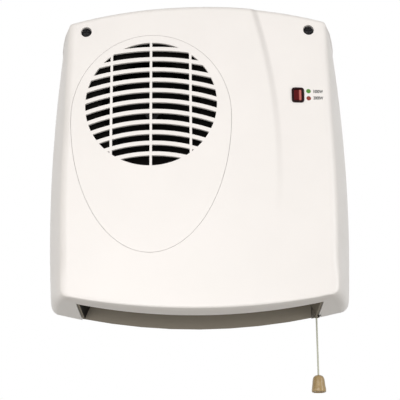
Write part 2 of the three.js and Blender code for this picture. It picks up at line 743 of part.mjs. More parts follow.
// pan-head screw that holds the cover, seated on its counterbore floor
function coverScrew(side) {
  const x = side * COVER_SCREW_X;
  const seatY = COUNTERBORE_FLOOR_Y - FIT_GAP;
  const headY = seatY - COVER_SCREW_HEAD_HEIGHT;
  const tipY = seatY + COVER_SCREW_LENGTH;
  const head = turnedY(x, COVER_SCREW_Z, [
    [0, headY],
    [COVER_SCREW_HEAD_RADIUS * 0.55, headY + COVER_SCREW_HEAD_HEIGHT * 0.08],
    [COVER_SCREW_HEAD_RADIUS * 0.88, headY + COVER_SCREW_HEAD_HEIGHT * 0.32],
    [COVER_SCREW_HEAD_RADIUS, headY + COVER_SCREW_HEAD_HEIGHT * 0.65],
    [COVER_SCREW_HEAD_RADIUS, seatY],
    [COVER_SCREW_SHANK_RADIUS, seatY],
    [COVER_SCREW_SHANK_RADIUS, tipY - 2],
    [0.5, tipY],
    [0, tipY],
  ]);
  const arm = COVER_SCREW_HEAD_RADIUS * 0.6;
  const half = SCREW_DRIVE_WIDTH / 2;
  const floorY = headY + SCREW_DRIVE_DEPTH;
  return cut(
    head,
    box(x - arm, x + arm, headY - 1, floorY, COVER_SCREW_Z - half, COVER_SCREW_Z + half),
    box(x - half, x + half, headY - 1, floorY, COVER_SCREW_Z - arm, COVER_SCREW_Z + arm),
  );
}

// ---------------------------------------------------------------- rear housing

// the block at the right rear corner of the mouth that holds the cord's bush
function cordBossBlock(grow, rearY) {
  return box(
    CORD_X - CORD_BOSS_HALF_WIDTH - grow, CORD_X + CORD_BOSS_HALF_WIDTH + grow,
    CORD_Y - CORD_BOSS_HALF_WIDTH - grow, rearY,
    -HALF_HEIGHT - 5, CORD_BOSS_TOP_Z + grow,
  );
}

function keyhole(x, z) {
  const shape = new THREE.Shape();
  const half = Math.asin(KEYHOLE_SLOT_RADIUS / KEYHOLE_HEAD_RADIUS);
  shape.absarc(x, z, KEYHOLE_HEAD_RADIUS, Math.PI / 2 + half, Math.PI / 2 - half + 2 * Math.PI, false);
  shape.absarc(x, z + KEYHOLE_DROP, KEYHOLE_SLOT_RADIUS, 0, Math.PI, false);
  return plate(shape, 1, -PLATE_THICK - 1, SMALL_ARC_SEGMENTS * 3);
}

function rearHousing() {
  const plateInset = COVER_WALL + TRAY_CLEARANCE;
  let solid = outlineTray(plateInset, 0, -TRAY_HEIGHT);
  solid = solid.subtract(outlineTray(plateInset + TRAY_WALL, -PLATE_THICK, -TRAY_HEIGHT - 1));
  const gap = MOUTH_HALF_WIDTH + 2 * PARTING_GAP;
  solid = solid.subtract(box(
    -gap, gap, -TRAY_HEIGHT - 1, -PLATE_THICK, -HALF_HEIGHT - 1, TRAY_CUT_RISE - HALF_HEIGHT,
  ));
  const surround = outlineTray(MOUTH_RECESS, 0, -TRAY_HEIGHT);
  solid = solid.add(cordBossBlock(0, 0).intersect(surround));
  const postFrontY = COUNTERBORE_FLOOR_Y + BOSS_FLOOR + FIT_GAP;
  const pilotRearY = COUNTERBORE_FLOOR_Y + COVER_SCREW_LENGTH + 2;
  for (const side of [-1, 1]) {
    const x = side * COVER_SCREW_X;
    solid = solid.add(barY(x, COVER_SCREW_Z, POST_RADIUS, -1, postFrontY));
    solid = solid.subtract(keyhole(side * KEYHOLE_X, KEYHOLE_Z));
    const pilot = COVER_SCREW_SHANK_RADIUS + FIT_GAP;
    solid = solid.subtract(barY(x, COVER_SCREW_Z, pilot, pilotRearY, BEYOND_FRONT_Y));
  }
  for (const [x, z] of SCROLL_POSTS) {
    solid = solid.add(barY(x, z, SCROLL_POST_RADIUS, -1, SCROLL_REAR_Y + FIT_GAP, SMALL_SEGMENTS));
    const pilot = SCROLL_SCREW_RADIUS + FIT_GAP;
    const pilotY = SCROLL_REAR_Y + SCROLL_SCREW_LENGTH;
    solid = solid.subtract(barY(x, z, pilot, pilotY, BEYOND_FRONT_Y, SMALL_SEGMENTS));
  }
  solid = solid.subtract(barY(0, LOWER_FIXING_Z, LOWER_FIXING_RADIUS, 1, -PLATE_THICK - 1));
  solid = solid.subtract(barY(BLOCK_X, GROMMET_Z, GROMMET_RADIUS - 1.5 + FIT_GAP, 1, -PLATE_THICK - 1));
  const bushBore = CORD_BUSH_RADIUS + FIT_GAP;
  return solid.subtract(barZ(CORD_X, CORD_Y, bushBore, -HALF_HEIGHT - 5, CORD_BOSS_TOP_Z + 1));
}

// ---------------------------------------------------------------- outlet nozzle and guard

// a ring of points round a rectangle, sampled along X so that its height may follow a surface
function rectangleRing(leftX, rightX, frontY, rearY, heightAt) {
  const points = [];
  for (let i = 0; i <= NOZZLE_STEPS; i += 1) {
    const x = leftX + (rightX - leftX) * i / NOZZLE_STEPS;
    points.push([x, frontY, heightAt(x, frontY)]);
  }
  for (let i = 0; i <= NOZZLE_STEPS; i += 1) {
    const x = rightX - (rightX - leftX) * i / NOZZLE_STEPS;
    points.push([x, rearY, heightAt(x, rearY)]);
  }
  return points;
}

// a closed loft through rings of equal count, listed from top to bottom
function loft(rings) {
  const facets = wallFacets(rings);
  const count = rings[0].length;
  const top = rings[0];
  const bottom = rings.at(-1);
  for (let i = 0; i < count / 2 - 1; i += 1) {
    const back = count - 1 - i;
    facets.push(...quad(top[i], top[i + 1], top[back - 1], top[back]));
    facets.push(...quad(bottom[back], bottom[back - 1], bottom[i + 1], bottom[i]));
  }
  return asSolid(surfaceOf(facets));
}

// the nozzle's passage, grown outwards by wall and past its ends by reach
function nozzlePassage(wall, reach) {
  const entryZ = HEATER_TOP_Z - HEATER_HEIGHT - FIT_GAP;
  const mouth = MOUTH_HALF_WIDTH - PARTING_GAP - NOZZLE_WALL + wall;
  const mouthFrontY = MOUTH_FRONT_Y + PARTING_GAP + NOZZLE_WALL - wall;
  const throat = THROAT_HALF_WIDTH + wall;
  const entryInset = HEATER_WALL;
  const entry = (z) => rectangleRing(
    HEATER_LEFT_X + entryInset - wall, HEATER_RIGHT_X - entryInset + wall,
    HEATER_FRONT_Y + entryInset - wall, HEATER_REAR_Y - entryInset + wall, () => z,
  );
  const middle = (z) => rectangleRing(
    -throat, throat, THROAT_FRONT_Y - wall, THROAT_REAR_Y + wall, () => z,
  );
  const rings = [entry(entryZ), middle(THROAT_Z + THROAT_LENGTH), middle(THROAT_Z)];
  if (reach > 0) rings.unshift(entry(entryZ + reach));
  const end = (drop) => rectangleRing(
    -mouth, mouth, mouthFrontY, MOUTH_REAR_Y + wall, (x, y) => undersideZ(x, y) + MOUTH_RECESS - drop,
  );
  rings.push(end(0));
  if (reach > 0) rings.push(end(reach));
  return loft(rings);
}

function outletNozzle() {
  return cut(nozzlePassage(NOZZLE_WALL, 0), nozzlePassage(0, 2), cordBossBlock(FIT_GAP, 5));
}

// the finger guard that spans the throat of the nozzle, slats and cross bars in a rim
function outletGuard() {
  const halfWidth = THROAT_HALF_WIDTH - FIT_GAP;
  const frontY = THROAT_FRONT_Y + FIT_GAP;
  const rearY = THROAT_REAR_Y - FIT_GAP;
  const lowZ = THROAT_Z + FIT_GAP;
  const highZ = lowZ + GUARD_DEPTH;
  const inside = GUARD_RIM / 2;
  const half = GUARD_BAR / 2;
  const bars = [];
  for (let slat = 1; slat <= GUARD_SLATS; slat += 1) {
    const x = halfWidth * (2 * slat / (GUARD_SLATS + 1) - 1);
    bars.push(box(x - half, x + half, frontY + inside, rearY - inside, lowZ + 0.2, highZ - 0.4));
  }
  for (let cross = 1; cross <= GUARD_CROSS_COUNT; cross += 1) {
    const y = frontY + (rearY - frontY) * cross / (GUARD_CROSS_COUNT + 1);
    bars.push(box(
      -halfWidth + inside, halfWidth - inside, y - half, y + half, lowZ + 0.6, highZ - 0.2,
    ));
  }
  const opening = box(
    -halfWidth + GUARD_RIM, halfWidth - GUARD_RIM, frontY + GUARD_RIM, rearY - GUARD_RIM,
    lowZ - 1, highZ + 1,
  );
  return join(box(-halfWidth, halfWidth, frontY, rearY, lowZ, highZ).subtract(opening), ...bars);
}

// ---------------------------------------------------------------- blower

// the spiral contour of the scroll and the duct below it, grown by offset
function scrollShape(offset, footZ) {
  const shape = new THREE.Shape();
  const startRadius = IMPELLER_RADIUS + SCROLL_TONGUE_GAP;
  const leftX = HEATER_LEFT_X + HEATER_WALL - offset;
  const rightX = HEATER_RIGHT_X - HEATER_WALL + offset;
  shape.moveTo(leftX, footZ);
  const sideRadius = startRadius + SCROLL_GROWTH + offset;
  shape.lineTo(rightX, footZ);
  shape.quadraticCurveTo(FAN_X + sideRadius, footZ / 2, FAN_X + sideRadius, FAN_Z);
  for (let step = 1; step <= SCROLL_STEPS; step += 1) {
    const share = step / SCROLL_STEPS;
    const angle = radians(SCROLL_TONGUE_DEG * share);
    const radius = startRadius + SCROLL_GROWTH * (1 - share) + offset;
    shape.lineTo(FAN_X + radius * Math.cos(angle), FAN_Z + radius * Math.sin(angle));
  }
  return shape;
}

function scrollHousing() {
  const footZ = HEATER_TOP_Z + FIT_GAP;
  const wallFrontY = INLET_PLATE_Y + FIT_GAP;
  const floorY = SCROLL_REAR_Y - SCROLL_WALL;
  let solid = plate(scrollShape(SCROLL_WALL, footZ), SCROLL_REAR_Y, wallFrontY);
  solid = solid.subtract(plate(scrollShape(0, footZ - 2), floorY, wallFrontY - 1));
  for (const side of [-1, 1]) {
    const x = FAN_X + side * MOTOR_SCREW_SPACING;
    const bossRearY = MOTOR_Y - STACK_LENGTH / 2 - BRACKET_THICK - 2 * FIT_GAP;
    solid = solid.add(barY(x, FAN_Z, MOTOR_SCREW_RADIUS + 2, bossRearY, floorY));
    solid = solid.subtract(barY(x, FAN_Z, MOTOR_SCREW_RADIUS + FIT_GAP, 0, floorY - 1));
  }
  solid = solid.subtract(barY(FAN_X, FAN_Z, BUSH_RADIUS + 3, 0, floorY - 1));
  for (const [x, z] of SCROLL_POSTS) {
    solid = solid.subtract(barY(x, z, SCROLL_SCREW_RADIUS + FIT_GAP, 0, floorY - 1, 12));
  }
  return solid;
}

// the plate that closes the scroll in front, with a rolled lip round the fan's eye
function inletPlate() {
  const frontY = INLET_PLATE_Y - INLET_PLATE_THICK;
  const lipRearY = IMPELLER_FRONT_Y - FIT_GAP;
  const outer = INLET_RADIUS + INLET_LIP;
  const sheet = plate(scrollShape(SCROLL_WALL, HEATER_TOP_Z + FIT_GAP), INLET_PLATE_Y, frontY);
  const lip = turnedY(FAN_X, FAN_Z, [
    [outer + 1, INLET_PLATE_Y],
    [outer + 1, frontY],
    [outer - 0.6, frontY],
    [INLET_RADIUS + 0.7, frontY + 0.6],
    [INLET_RADIUS, frontY + 1.6],
    [INLET_RADIUS, lipRearY],
    [INLET_RADIUS + 1.1, lipRearY],
    [INLET_RADIUS + 1.2, INLET_PLATE_Y + 0.5],
    [INLET_RADIUS + 2, INLET_PLATE_Y],
    [outer + 1, INLET_PLATE_Y],
  ], 40);
  return sheet.subtract(barY(FAN_X, FAN_Z, outer, 0, BEYOND_FRONT_Y, 40)).add(lip);
}

// a screw that holds the scroll on a post of the rear housing
function scrollScrew([x, z]) {
  const seatY = SCROLL_REAR_Y - SCROLL_WALL - FIT_GAP;
  return join(
    barY(x, z, SCROLL_SCREW_HEAD_RADIUS, seatY, seatY - SCROLL_SCREW_HEAD_HEIGHT, 12),
    barY(x, z, SCROLL_SCREW_RADIUS, seatY + SCROLL_SCREW_LENGTH, seatY - 0.5, 12),
  );
}

// one forward-curved blade at the given turn
function impellerBlade(angle) {
  const inner = IMPELLER_EYE_RADIUS - 1;
  const outer = IMPELLER_RADIUS - 0.4;
  const middle = (inner + outer) / 2;
  const lead = radians(BLADE_SWEEP);
  const at = (radius, turn) => [radius * Math.cos(turn), radius * Math.sin(turn)];
  const half = BLADE_THICK / 2 / outer;
  const shape = new THREE.Shape();
  shape.moveTo(...at(inner, half));
  shape.quadraticCurveTo(...at(middle, lead * 0.1 + half), ...at(outer, -lead + half));
  shape.lineTo(...at(outer, -lead - half));
  shape.quadraticCurveTo(...at(middle, lead * 0.1 - half), ...at(inner, -half));
  const geometry = new THREE.ExtrudeGeometry(shape, {
    depth: IMPELLER_REAR_Y - IMPELLER_FRONT_Y - 1, bevelEnabled: false, curveSegments: 2,
  });
  geometry.rotateX(Math.PI / 2).rotateY(-angle);
  geometry.translate(FAN_X, IMPELLER_REAR_Y - 0.5, FAN_Z);
  return asSolid(geometry);
}

function impeller() {
  const discFrontY = IMPELLER_REAR_Y - IMPELLER_DISC;
  const hubFrontY = IMPELLER_REAR_Y - HUB_LENGTH;
  let solid = turnedY(FAN_X, FAN_Z, [
    [SHAFT_RADIUS + FIT_GAP, IMPELLER_REAR_Y],
    [IMPELLER_RADIUS, IMPELLER_REAR_Y],
    [IMPELLER_RADIUS, discFrontY],
    [HUB_RADIUS + 6, discFrontY],
    [HUB_RADIUS + 1.5, discFrontY - 2],
    [HUB_RADIUS, discFrontY - 6],
    [HUB_RADIUS - 1.5, hubFrontY],
    [SHAFT_RADIUS + FIT_GAP, hubFrontY],
    [SHAFT_RADIUS + FIT_GAP, IMPELLER_REAR_Y],
  ], IMPELLER_SEGMENTS);
  solid = solid.add(turnedY(FAN_X, FAN_Z, [
    [IMPELLER_EYE_RADIUS + 1.5, IMPELLER_FRONT_Y],
    [IMPELLER_RADIUS, IMPELLER_FRONT_Y],
    [IMPELLER_RADIUS, IMPELLER_FRONT_Y + IMPELLER_RING],
    [IMPELLER_EYE_RADIUS + 1.5, IMPELLER_FRONT_Y + IMPELLER_RING],
    [IMPELLER_EYE_RADIUS + 1.5, IMPELLER_FRONT_Y],
  ], IMPELLER_SEGMENTS));
  for (let blade = 0; blade < BLADE_COUNT; blade += 1) {
    solid = solid.add(impellerBlade(2 * Math.PI * blade / BLADE_COUNT));
  }
  return solid;
}

// the push-on clip that keeps the impeller on its shaft
function impellerClip() {
  const rearY = IMPELLER_REAR_Y - HUB_LENGTH - FIT_GAP;
  return turnedY(FAN_X, FAN_Z, [
    [SHAFT_RADIUS + FIT_GAP, rearY],
    [HUB_RADIUS - 2, rearY],
    [HUB_RADIUS - 2, rearY - 0.6],
    [SHAFT_RADIUS + 1.4, rearY - 1.5],
    [SHAFT_RADIUS + FIT_GAP, rearY - 1.5],
    [SHAFT_RADIUS + FIT_GAP, rearY],
  ]);
}

// ---------------------------------------------------------------- shaded-pole motor

const STACK_REAR_Y = MOTOR_Y + STACK_LENGTH / 2;
const STACK_FRONT_Y = MOTOR_Y - STACK_LENGTH / 2;
const YOKE_LOW_Z = FAN_Z - STATOR_DROP;
const YOKE_HIGH_Z = YOKE_LOW_Z + YOKE_HEIGHT;

function motorShaft() {
  return turnedY(FAN_X, FAN_Z, [
    [0, SHAFT_REAR_Y],
    [SHAFT_RADIUS - 0.5, SHAFT_REAR_Y],
    [SHAFT_RADIUS, SHAFT_REAR_Y - 0.5],
    [SHAFT_RADIUS, SHAFT_FRONT_Y + 0.5],
    [SHAFT_RADIUS - 0.5, SHAFT_FRONT_Y],
    [0, SHAFT_FRONT_Y],
  ], 16);
}

function motorRotor() {
  const bore = SHAFT_RADIUS + FIT_GAP;
  const radius = STATOR_BORE - AIR_GAP;
  return turnedY(FAN_X, FAN_Z, [
    [bore, STACK_REAR_Y + END_RING_LENGTH],
    [END_RING_RADIUS, STACK_REAR_Y + END_RING_LENGTH],
    [END_RING_RADIUS, STACK_REAR_Y],
    [radius, STACK_REAR_Y],
    [radius, STACK_FRONT_Y],
    [END_RING_RADIUS, STACK_FRONT_Y],
    [END_RING_RADIUS, STACK_FRONT_Y - END_RING_LENGTH],
    [bore, STACK_FRONT_Y - END_RING_LENGTH],
    [bore, STACK_REAR_Y + END_RING_LENGTH],
  ], 24);
}

// the C-shaped stack of laminations
function motorStator() {
  const left = FAN_X - STATOR_WIDTH / 2;
  const right = FAN_X + STATOR_WIDTH / 2;
  const window = box(
    FAN_X - WINDOW_HALF_WIDTH, FAN_X + WINDOW_HALF_WIDTH, STACK_FRONT_Y - 1, STACK_REAR_Y + 1,
    YOKE_HIGH_Z, FAN_Z - WINDOW_TOP_DROP,
  );
  const sheet = roundedRect(left, right, YOKE_LOW_Z, FAN_Z + STATOR_RISE, STATOR_CORNER);
  const through = (x, radius, segments) => barY(
    x, FAN_Z, radius, STACK_REAR_Y + 1, STACK_FRONT_Y - 1, segments,
  );
  let solid = plate(sheet, STACK_REAR_Y, STACK_FRONT_Y, SMALL_ARC_SEGMENTS);
  solid = cut(solid, window, through(FAN_X, STATOR_BORE, 24));
  for (const side of [-1, 1]) {
    const x = FAN_X + side * MOTOR_SCREW_SPACING;
    solid = solid.subtract(through(x, MOTOR_SCREW_RADIUS + FIT_GAP, SMALL_SEGMENTS));
    solid = solid.subtract(shadingSlot(side));
  }
  return solid;
}

// the slot in a pole face that a shading ring passes through
function shadingSlot(side) {
  return shadingBlock(side, FIT_GAP, 2);
}

// a copper bar through one pole that shows at both ends of the stack
function shadingBar(side) {
  return shadingBlock(side, 0, FIT_GAP);
}

function shadingBlock(side, grow, reach) {
  const x = FAN_X + side * SHADING_X;
  const z = FAN_Z + side * SHADING_Z;
  const halfWidth = SHADING_WIDTH / 2 + grow;
  const halfLength = SHADING_LENGTH / 2 + grow;
  return box(
    x - halfWidth, x + halfWidth, STACK_FRONT_Y - reach, STACK_REAR_Y + reach,
    z - halfLength, z + halfLength,
  );
}

// the former round the lower leg of the stack
function coilBobbin() {
  const halfX = WINDOW_HALF_WIDTH - FIT_GAP;
  const middleZ = (YOKE_LOW_Z + YOKE_HIGH_Z) / 2;
  const tubeZ = YOKE_HEIGHT / 2 + FIT_GAP + BOBBIN_WALL;
  const tubeY = STACK_LENGTH / 2 + FIT_GAP + BOBBIN_WALL;
  const flangeZ = tubeZ + COIL_BUILD;
  const flangeY = tubeY + COIL_BUILD;
  const slab = (x0, x1, y, z) => box(x0, x1, MOTOR_Y - y, MOTOR_Y + y, middleZ - z, middleZ + z);
  return cut(
    join(
      slab(FAN_X - halfX, FAN_X + halfX, tubeY, tubeZ),
      slab(FAN_X - halfX, FAN_X - halfX + BOBBIN_FLANGE, flangeY, flangeZ),
      slab(FAN_X + halfX - BOBBIN_FLANGE, FAN_X + halfX, flangeY, flangeZ),
    ),
    slab(FAN_X - halfX - 1, FAN_X + halfX + 1, tubeY - BOBBIN_WALL, tubeZ - BOBBIN_WALL),
  );
}

// the winding, a ring with rounded corners between the bobbin's flanges
function motorCoil() {
  const halfX = WINDOW_HALF_WIDTH - FIT_GAP - BOBBIN_FLANGE - FIT_GAP;
  const middleZ = (YOKE_LOW_Z + YOKE_HIGH_Z) / 2;
  const innerZ = YOKE_HEIGHT / 2 + 2 * FIT_GAP + BOBBIN_WALL;
  const innerY = STACK_LENGTH / 2 + 2 * FIT_GAP + BOBBIN_WALL;
  const build = COIL_BUILD - 2 * FIT_GAP;
  const ring = (grow, radius, reach) => {
    const shape = roundedRect(
      -innerY - grow, innerY + grow, -innerZ - grow, innerZ + grow, radius,
    );
    const geometry = new THREE.ExtrudeGeometry(shape, {
      depth: 2 * (halfX + reach), bevelEnabled: false, curveSegments: SMALL_ARC_SEGMENTS,
    });
    geometry.translate(0, 0, -halfX - reach);
    geometry.rotateX(Math.PI / 2).rotateZ(Math.PI / 2);
    geometry.translate(FAN_X, MOTOR_Y, middleZ);
    return asSolid(geometry);
  };
  return ring(build, build, 0).subtract(ring(0, 0.6, 1));
}

// a pressed bracket over one end of the stack, with a cup for the bush
function motorBracket(direction) {
  const faceYs = direction > 0 ? STACK_REAR_Y : STACK_FRONT_Y;
  const y = (distance) => faceYs + direction * distance;
  const slab = (x0, x1, near, far, halfZ) => box(
    x0, x1, Math.min(y(near), y(far)), Math.max(y(near), y(far)), FAN_Z - halfZ, FAN_Z + halfZ,
  );
  const reach = STATOR_WIDTH / 2 - 1;
  const half = BRACKET_WIDTH / 2;
  const bridgeNear = BRACKET_STAND;
  const bridgeFar = BRACKET_STAND + BRACKET_THICK;
  const inner = MOTOR_SCREW_SPACING - MOTOR_SCREW_HEAD_RADIUS - 1.2;
  const parts = [slab(FAN_X - inner, FAN_X + inner, bridgeNear, bridgeFar, half)];
  for (const side of [-1, 1]) {
    const near = FAN_X + side * (inner - BRACKET_THICK);
    const far = FAN_X + side * reach;
    const edge = FAN_X + side * inner;
    parts.push(slab(Math.min(near, edge), Math.max(near, edge), FIT_GAP, bridgeFar, half));
    parts.push(slab(Math.min(near, far), Math.max(near, far), FIT_GAP, FIT_GAP + BRACKET_THICK, half));
  }
  const cupYs = [y(bridgeNear), y(bridgeFar + CUP_REACH)];
  const cupRadius = BUSH_RADIUS + FIT_GAP + BRACKET_THICK;
  parts.push(barY(FAN_X, FAN_Z, cupRadius, Math.max(...cupYs), Math.min(...cupYs)));
  const holes = [barY(FAN_X, FAN_Z, BUSH_RADIUS + FIT_GAP, BEYOND_REAR_Y, BEYOND_FRONT_Y)];
  for (const side of [-1, 1]) {
    const x = FAN_X + side * MOTOR_SCREW_SPACING;
    const hole = MOTOR_SCREW_RADIUS + FIT_GAP;
    holes.push(barY(x, FAN_Z, hole, BEYOND_REAR_Y, BEYOND_FRONT_Y, SMALL_SEGMENTS));
  }
  return cut(join(...parts), ...holes);
}

// a sintered bush in the cup of a bracket
function motorBush(direction) {
  const faceYs = direction > 0 ? STACK_REAR_Y : STACK_FRONT_Y;
  const near = faceYs + direction * (BRACKET_STAND - 0.6);
  const far = near + direction * BUSH_LENGTH;
  const bore = SHAFT_RADIUS + FIT_GAP;
  const profile = [
    [bore, near], [BUSH_RADIUS, near], [BUSH_RADIUS, far], [bore, far], [bore, near],
  ];
  return turnedY(FAN_X, FAN_Z, profile);
}

// a long screw through the motor into a boss of the scroll
function motorScrew(side) {
  const seatY = STACK_REAR_Y + 2 * FIT_GAP + BRACKET_THICK;
  const tipY = SCROLL_REAR_Y - SCROLL_WALL + 1;
  const x = FAN_X + side * MOTOR_SCREW_SPACING;
  return join(
    barY(x, FAN_Z, MOTOR_SCREW_HEAD_RADIUS, seatY + MOTOR_SCREW_HEAD_HEIGHT, seatY, 12),
    barY(x, FAN_Z, MOTOR_SCREW_RADIUS, seatY + 0.5, tipY, 12),
  );
}

// ---------------------------------------------------------------- heating element

const HEATER_BOTTOM_Z = HEATER_TOP_Z - HEATER_HEIGHT;
const HEATER_MIDDLE_Z = HEATER_TOP_Z - HEATER_HEIGHT / 2;
const ELEMENT_LEFT_X = HEATER_LEFT_X + HEATER_WALL + FIT_GAP;
const ELEMENT_RIGHT_X = HEATER_RIGHT_X - HEATER_WALL - FIT_GAP;
const ELEMENT_DEPTH = (HEATER_REAR_Y - HEATER_WALL) - (HEATER_FRONT_Y + HEATER_WALL);
const FIN_ROW_DEPTH = (ELEMENT_DEPTH - PTC_COUNT * PTC_THICK) / (PTC_COUNT + 1);

// the open frame that carries the element between the scroll and the nozzle
function heaterFrame() {
  let solid = cut(
    box(HEATER_LEFT_X, HEATER_RIGHT_X, HEATER_FRONT_Y, HEATER_REAR_Y, HEATER_BOTTOM_Z, HEATER_TOP_Z),
    box(
      HEATER_LEFT_X + HEATER_WALL, HEATER_RIGHT_X - HEATER_WALL,
      HEATER_FRONT_Y + HEATER_WALL, HEATER_REAR_Y - HEATER_WALL, HEATER_BOTTOM_Z - 1, HEATER_TOP_Z + 1,
    ),
  );
  for (let bar = 0; bar < PTC_COUNT; bar += 1) {
    const y = ptcY(bar);
    const half = TAB_WIDTH / 2 + FIT_GAP;
    solid = solid.subtract(box(
      HEATER_RIGHT_X - HEATER_WALL - 1, HEATER_RIGHT_X + 1,
      y - TAB_THICK / 2 - FIT_GAP, y + TAB_THICK / 2 + FIT_GAP,
      HEATER_MIDDLE_Z - half, HEATER_MIDDLE_Z + half,
    ));
  }
  return solid;
}

const ptcY = (bar) => HEATER_FRONT_Y + HEATER_WALL
  + (bar + 1) * FIN_ROW_DEPTH + (bar + 0.5) * PTC_THICK;

// a flat bar of heating stones in its aluminium tube, with its contact tab
function ptcBar(bar) {
  const y = ptcY(bar);
  const half = PTC_THICK / 2;
  return join(
    box(
      ELEMENT_LEFT_X, ELEMENT_RIGHT_X, y - half, y + half,
      HEATER_MIDDLE_Z - PTC_HEIGHT / 2, HEATER_MIDDLE_Z + PTC_HEIGHT / 2,
    ),
    box(
      ELEMENT_RIGHT_X - 1, HEATER_RIGHT_X + TAB_LENGTH, y - TAB_THICK / 2, y + TAB_THICK / 2,
      HEATER_MIDDLE_Z - TAB_WIDTH / 2, HEATER_MIDDLE_Z + TAB_WIDTH / 2,
    ),
  );
}

// a row of folded fins between two bars, one zigzag strip
function finRow(row) {
  const startY = HEATER_FRONT_Y + HEATER_WALL + row * (FIN_ROW_DEPTH + PTC_THICK) + FIT_GAP;
  const depth = FIN_ROW_DEPTH - 2 * FIT_GAP - FIN_THICK;
  const pitch = (ELEMENT_RIGHT_X - ELEMENT_LEFT_X) / FIN_FOLDS;
  const at = (fold, lift) => [ELEMENT_LEFT_X + fold * pitch, (fold % 2 ? depth : 0) + lift];
  const shape = new THREE.Shape();
  shape.moveTo(...at(0, 0));
  for (let fold = 1; fold <= FIN_FOLDS; fold += 1) shape.lineTo(...at(fold, 0));
  for (let fold = FIN_FOLDS; fold >= 0; fold -= 1) shape.lineTo(...at(fold, FIN_THICK));
  const geometry = new THREE.ExtrudeGeometry(shape, { depth: PTC_HEIGHT, bevelEnabled: false });
  geometry.translate(0, startY, HEATER_MIDDLE_Z - PTC_HEIGHT / 2);
  return asSolid(geometry);
}

// the disc thermostat on the right-hand end of the heater frame
function thermalCutout() {
  const x = HEATER_RIGHT_X + FIT_GAP;
  const y = (HEATER_FRONT_Y + HEATER_REAR_Y) / 2;
  const z = HEATER_TOP_Z - CUTOUT_RADIUS - 1;
  return join(
    barX(y, z, CUTOUT_RADIUS, x, x + CUTOUT_HEIGHT * 0.35),
    barX(y, z, CUTOUT_RADIUS * 0.86, x + CUTOUT_HEIGHT * 0.3, x + CUTOUT_HEIGHT),
    box(x + CUTOUT_HEIGHT - 1, x + CUTOUT_HEIGHT + 6, y - 4.4, y - 3.6, z - 3.15, z + 3.15),
    box(x + CUTOUT_HEIGHT - 1, x + CUTOUT_HEIGHT + 6, y + 3.6, y + 4.4, z - 3.15, z + 3.15),
  );
}

// the one-shot thermal fuse laid along the end of the heater frame
function thermalFuse() {
  const x = HEATER_RIGHT_X + FIT_GAP + FUSE_RADIUS;
  const z = HEATER_BOTTOM_Z + FUSE_RADIUS + 2;
  const y = (HEATER_FRONT_Y + HEATER_REAR_Y) / 2;
  return turnedY(x, z, [
    [0, y + FUSE_LENGTH / 2 + 5],
    [FUSE_LEAD_RADIUS, y + FUSE_LENGTH / 2 + 5],
    [FUSE_LEAD_RADIUS, y + FUSE_LENGTH / 2 + 1],
    [FUSE_RADIUS, y + FUSE_LENGTH / 2],
    [FUSE_RADIUS, y - FUSE_LENGTH / 2],
    [FUSE_LEAD_RADIUS, y - FUSE_LENGTH / 2 - 1],
    [FUSE_LEAD_RADIUS, y - FUSE_LENGTH / 2 - 5],
    [0, y - FUSE_LENGTH / 2 - 5],
  ], 14);
}

// ---------------------------------------------------------------- terminals and cable entry

const FLOOR_Y = -PLATE_THICK - FIT_GAP;

const wayX = (way) => BLOCK_X - BLOCK_WIDTH / 2 + BLOCK_WIDTH * (way + 0.5) / TERMINAL_COUNT;
const TERMINAL_SCREW_Z = BLOCK_Z - BLOCK_HEIGHT / 4;

function terminalBlock() {
  const left = BLOCK_X - BLOCK_WIDTH / 2;
  const low = BLOCK_Z - BLOCK_HEIGHT / 2;
  const high = BLOCK_Z + BLOCK_HEIGHT / 2;
  const frontY = FLOOR_Y - BLOCK_DEPTH;
  const middleY = FLOOR_Y - BLOCK_DEPTH / 2;
  let solid = box(left, left + BLOCK_WIDTH, frontY, FLOOR_Y, low, high);
  const stepY = frontY + BLOCK_STEP;
  solid = solid.subtract(box(left - 1, left + BLOCK_WIDTH + 1, frontY - 1, stepY, BLOCK_Z + 2, high + 1));
  for (let way = 0; way < TERMINAL_COUNT; way += 1) {
    const x = wayX(way);
    solid = solid.subtract(barZ(x, middleY, WIRE_ENTRY_RADIUS, low - 1, high + 1, SMALL_SEGMENTS));
    const hole = TERMINAL_SCREW_RADIUS + FIT_GAP;
    solid = solid.subtract(barY(x, TERMINAL_SCREW_Z, hole, middleY, frontY - 1, SMALL_SEGMENTS));
    if (way > 0) {
      const edge = (wayX(way - 1) + x) / 2;
      const groove = BLOCK_GROOVE / 2;
      solid = solid.subtract(box(edge - groove, edge + groove, frontY - 1, stepY, low - 1, high + 1));
    }
  }
  return solid;
}

function terminalScrew(way) {
  const x = wayX(way);
  const frontY = FLOOR_Y - BLOCK_DEPTH + 2;
  const tipY = FLOOR_Y - BLOCK_DEPTH / 2 - WIRE_ENTRY_RADIUS + 1;
  const screw = barY(x, TERMINAL_SCREW_Z, TERMINAL_SCREW_RADIUS, tipY, frontY, SMALL_SEGMENTS);
  return screw.subtract(box(
    x - 0.4, x + 0.4, frontY - 1, frontY + 0.8, TERMINAL_SCREW_Z - 3, TERMINAL_SCREW_Z + 3,
  ));
}

// the rubber ring that lines the cable entry in the rear plate
function cableGrommet() {
  const bore = CABLE_RADIUS;
  const groove = GROMMET_RADIUS - 1.5;
  return turnedY(BLOCK_X, GROMMET_Z, [
    [bore, -FIT_GAP],
    [groove, -FIT_GAP],
    [groove, -PLATE_THICK - FIT_GAP],
    [GROMMET_RADIUS, -PLATE_THICK - FIT_GAP],
    [GROMMET_RADIUS - 0.6, -PLATE_THICK - 2.6],
    [bore, -PLATE_THICK - 3.4],
    [bore, -FIT_GAP],
  ]);
}

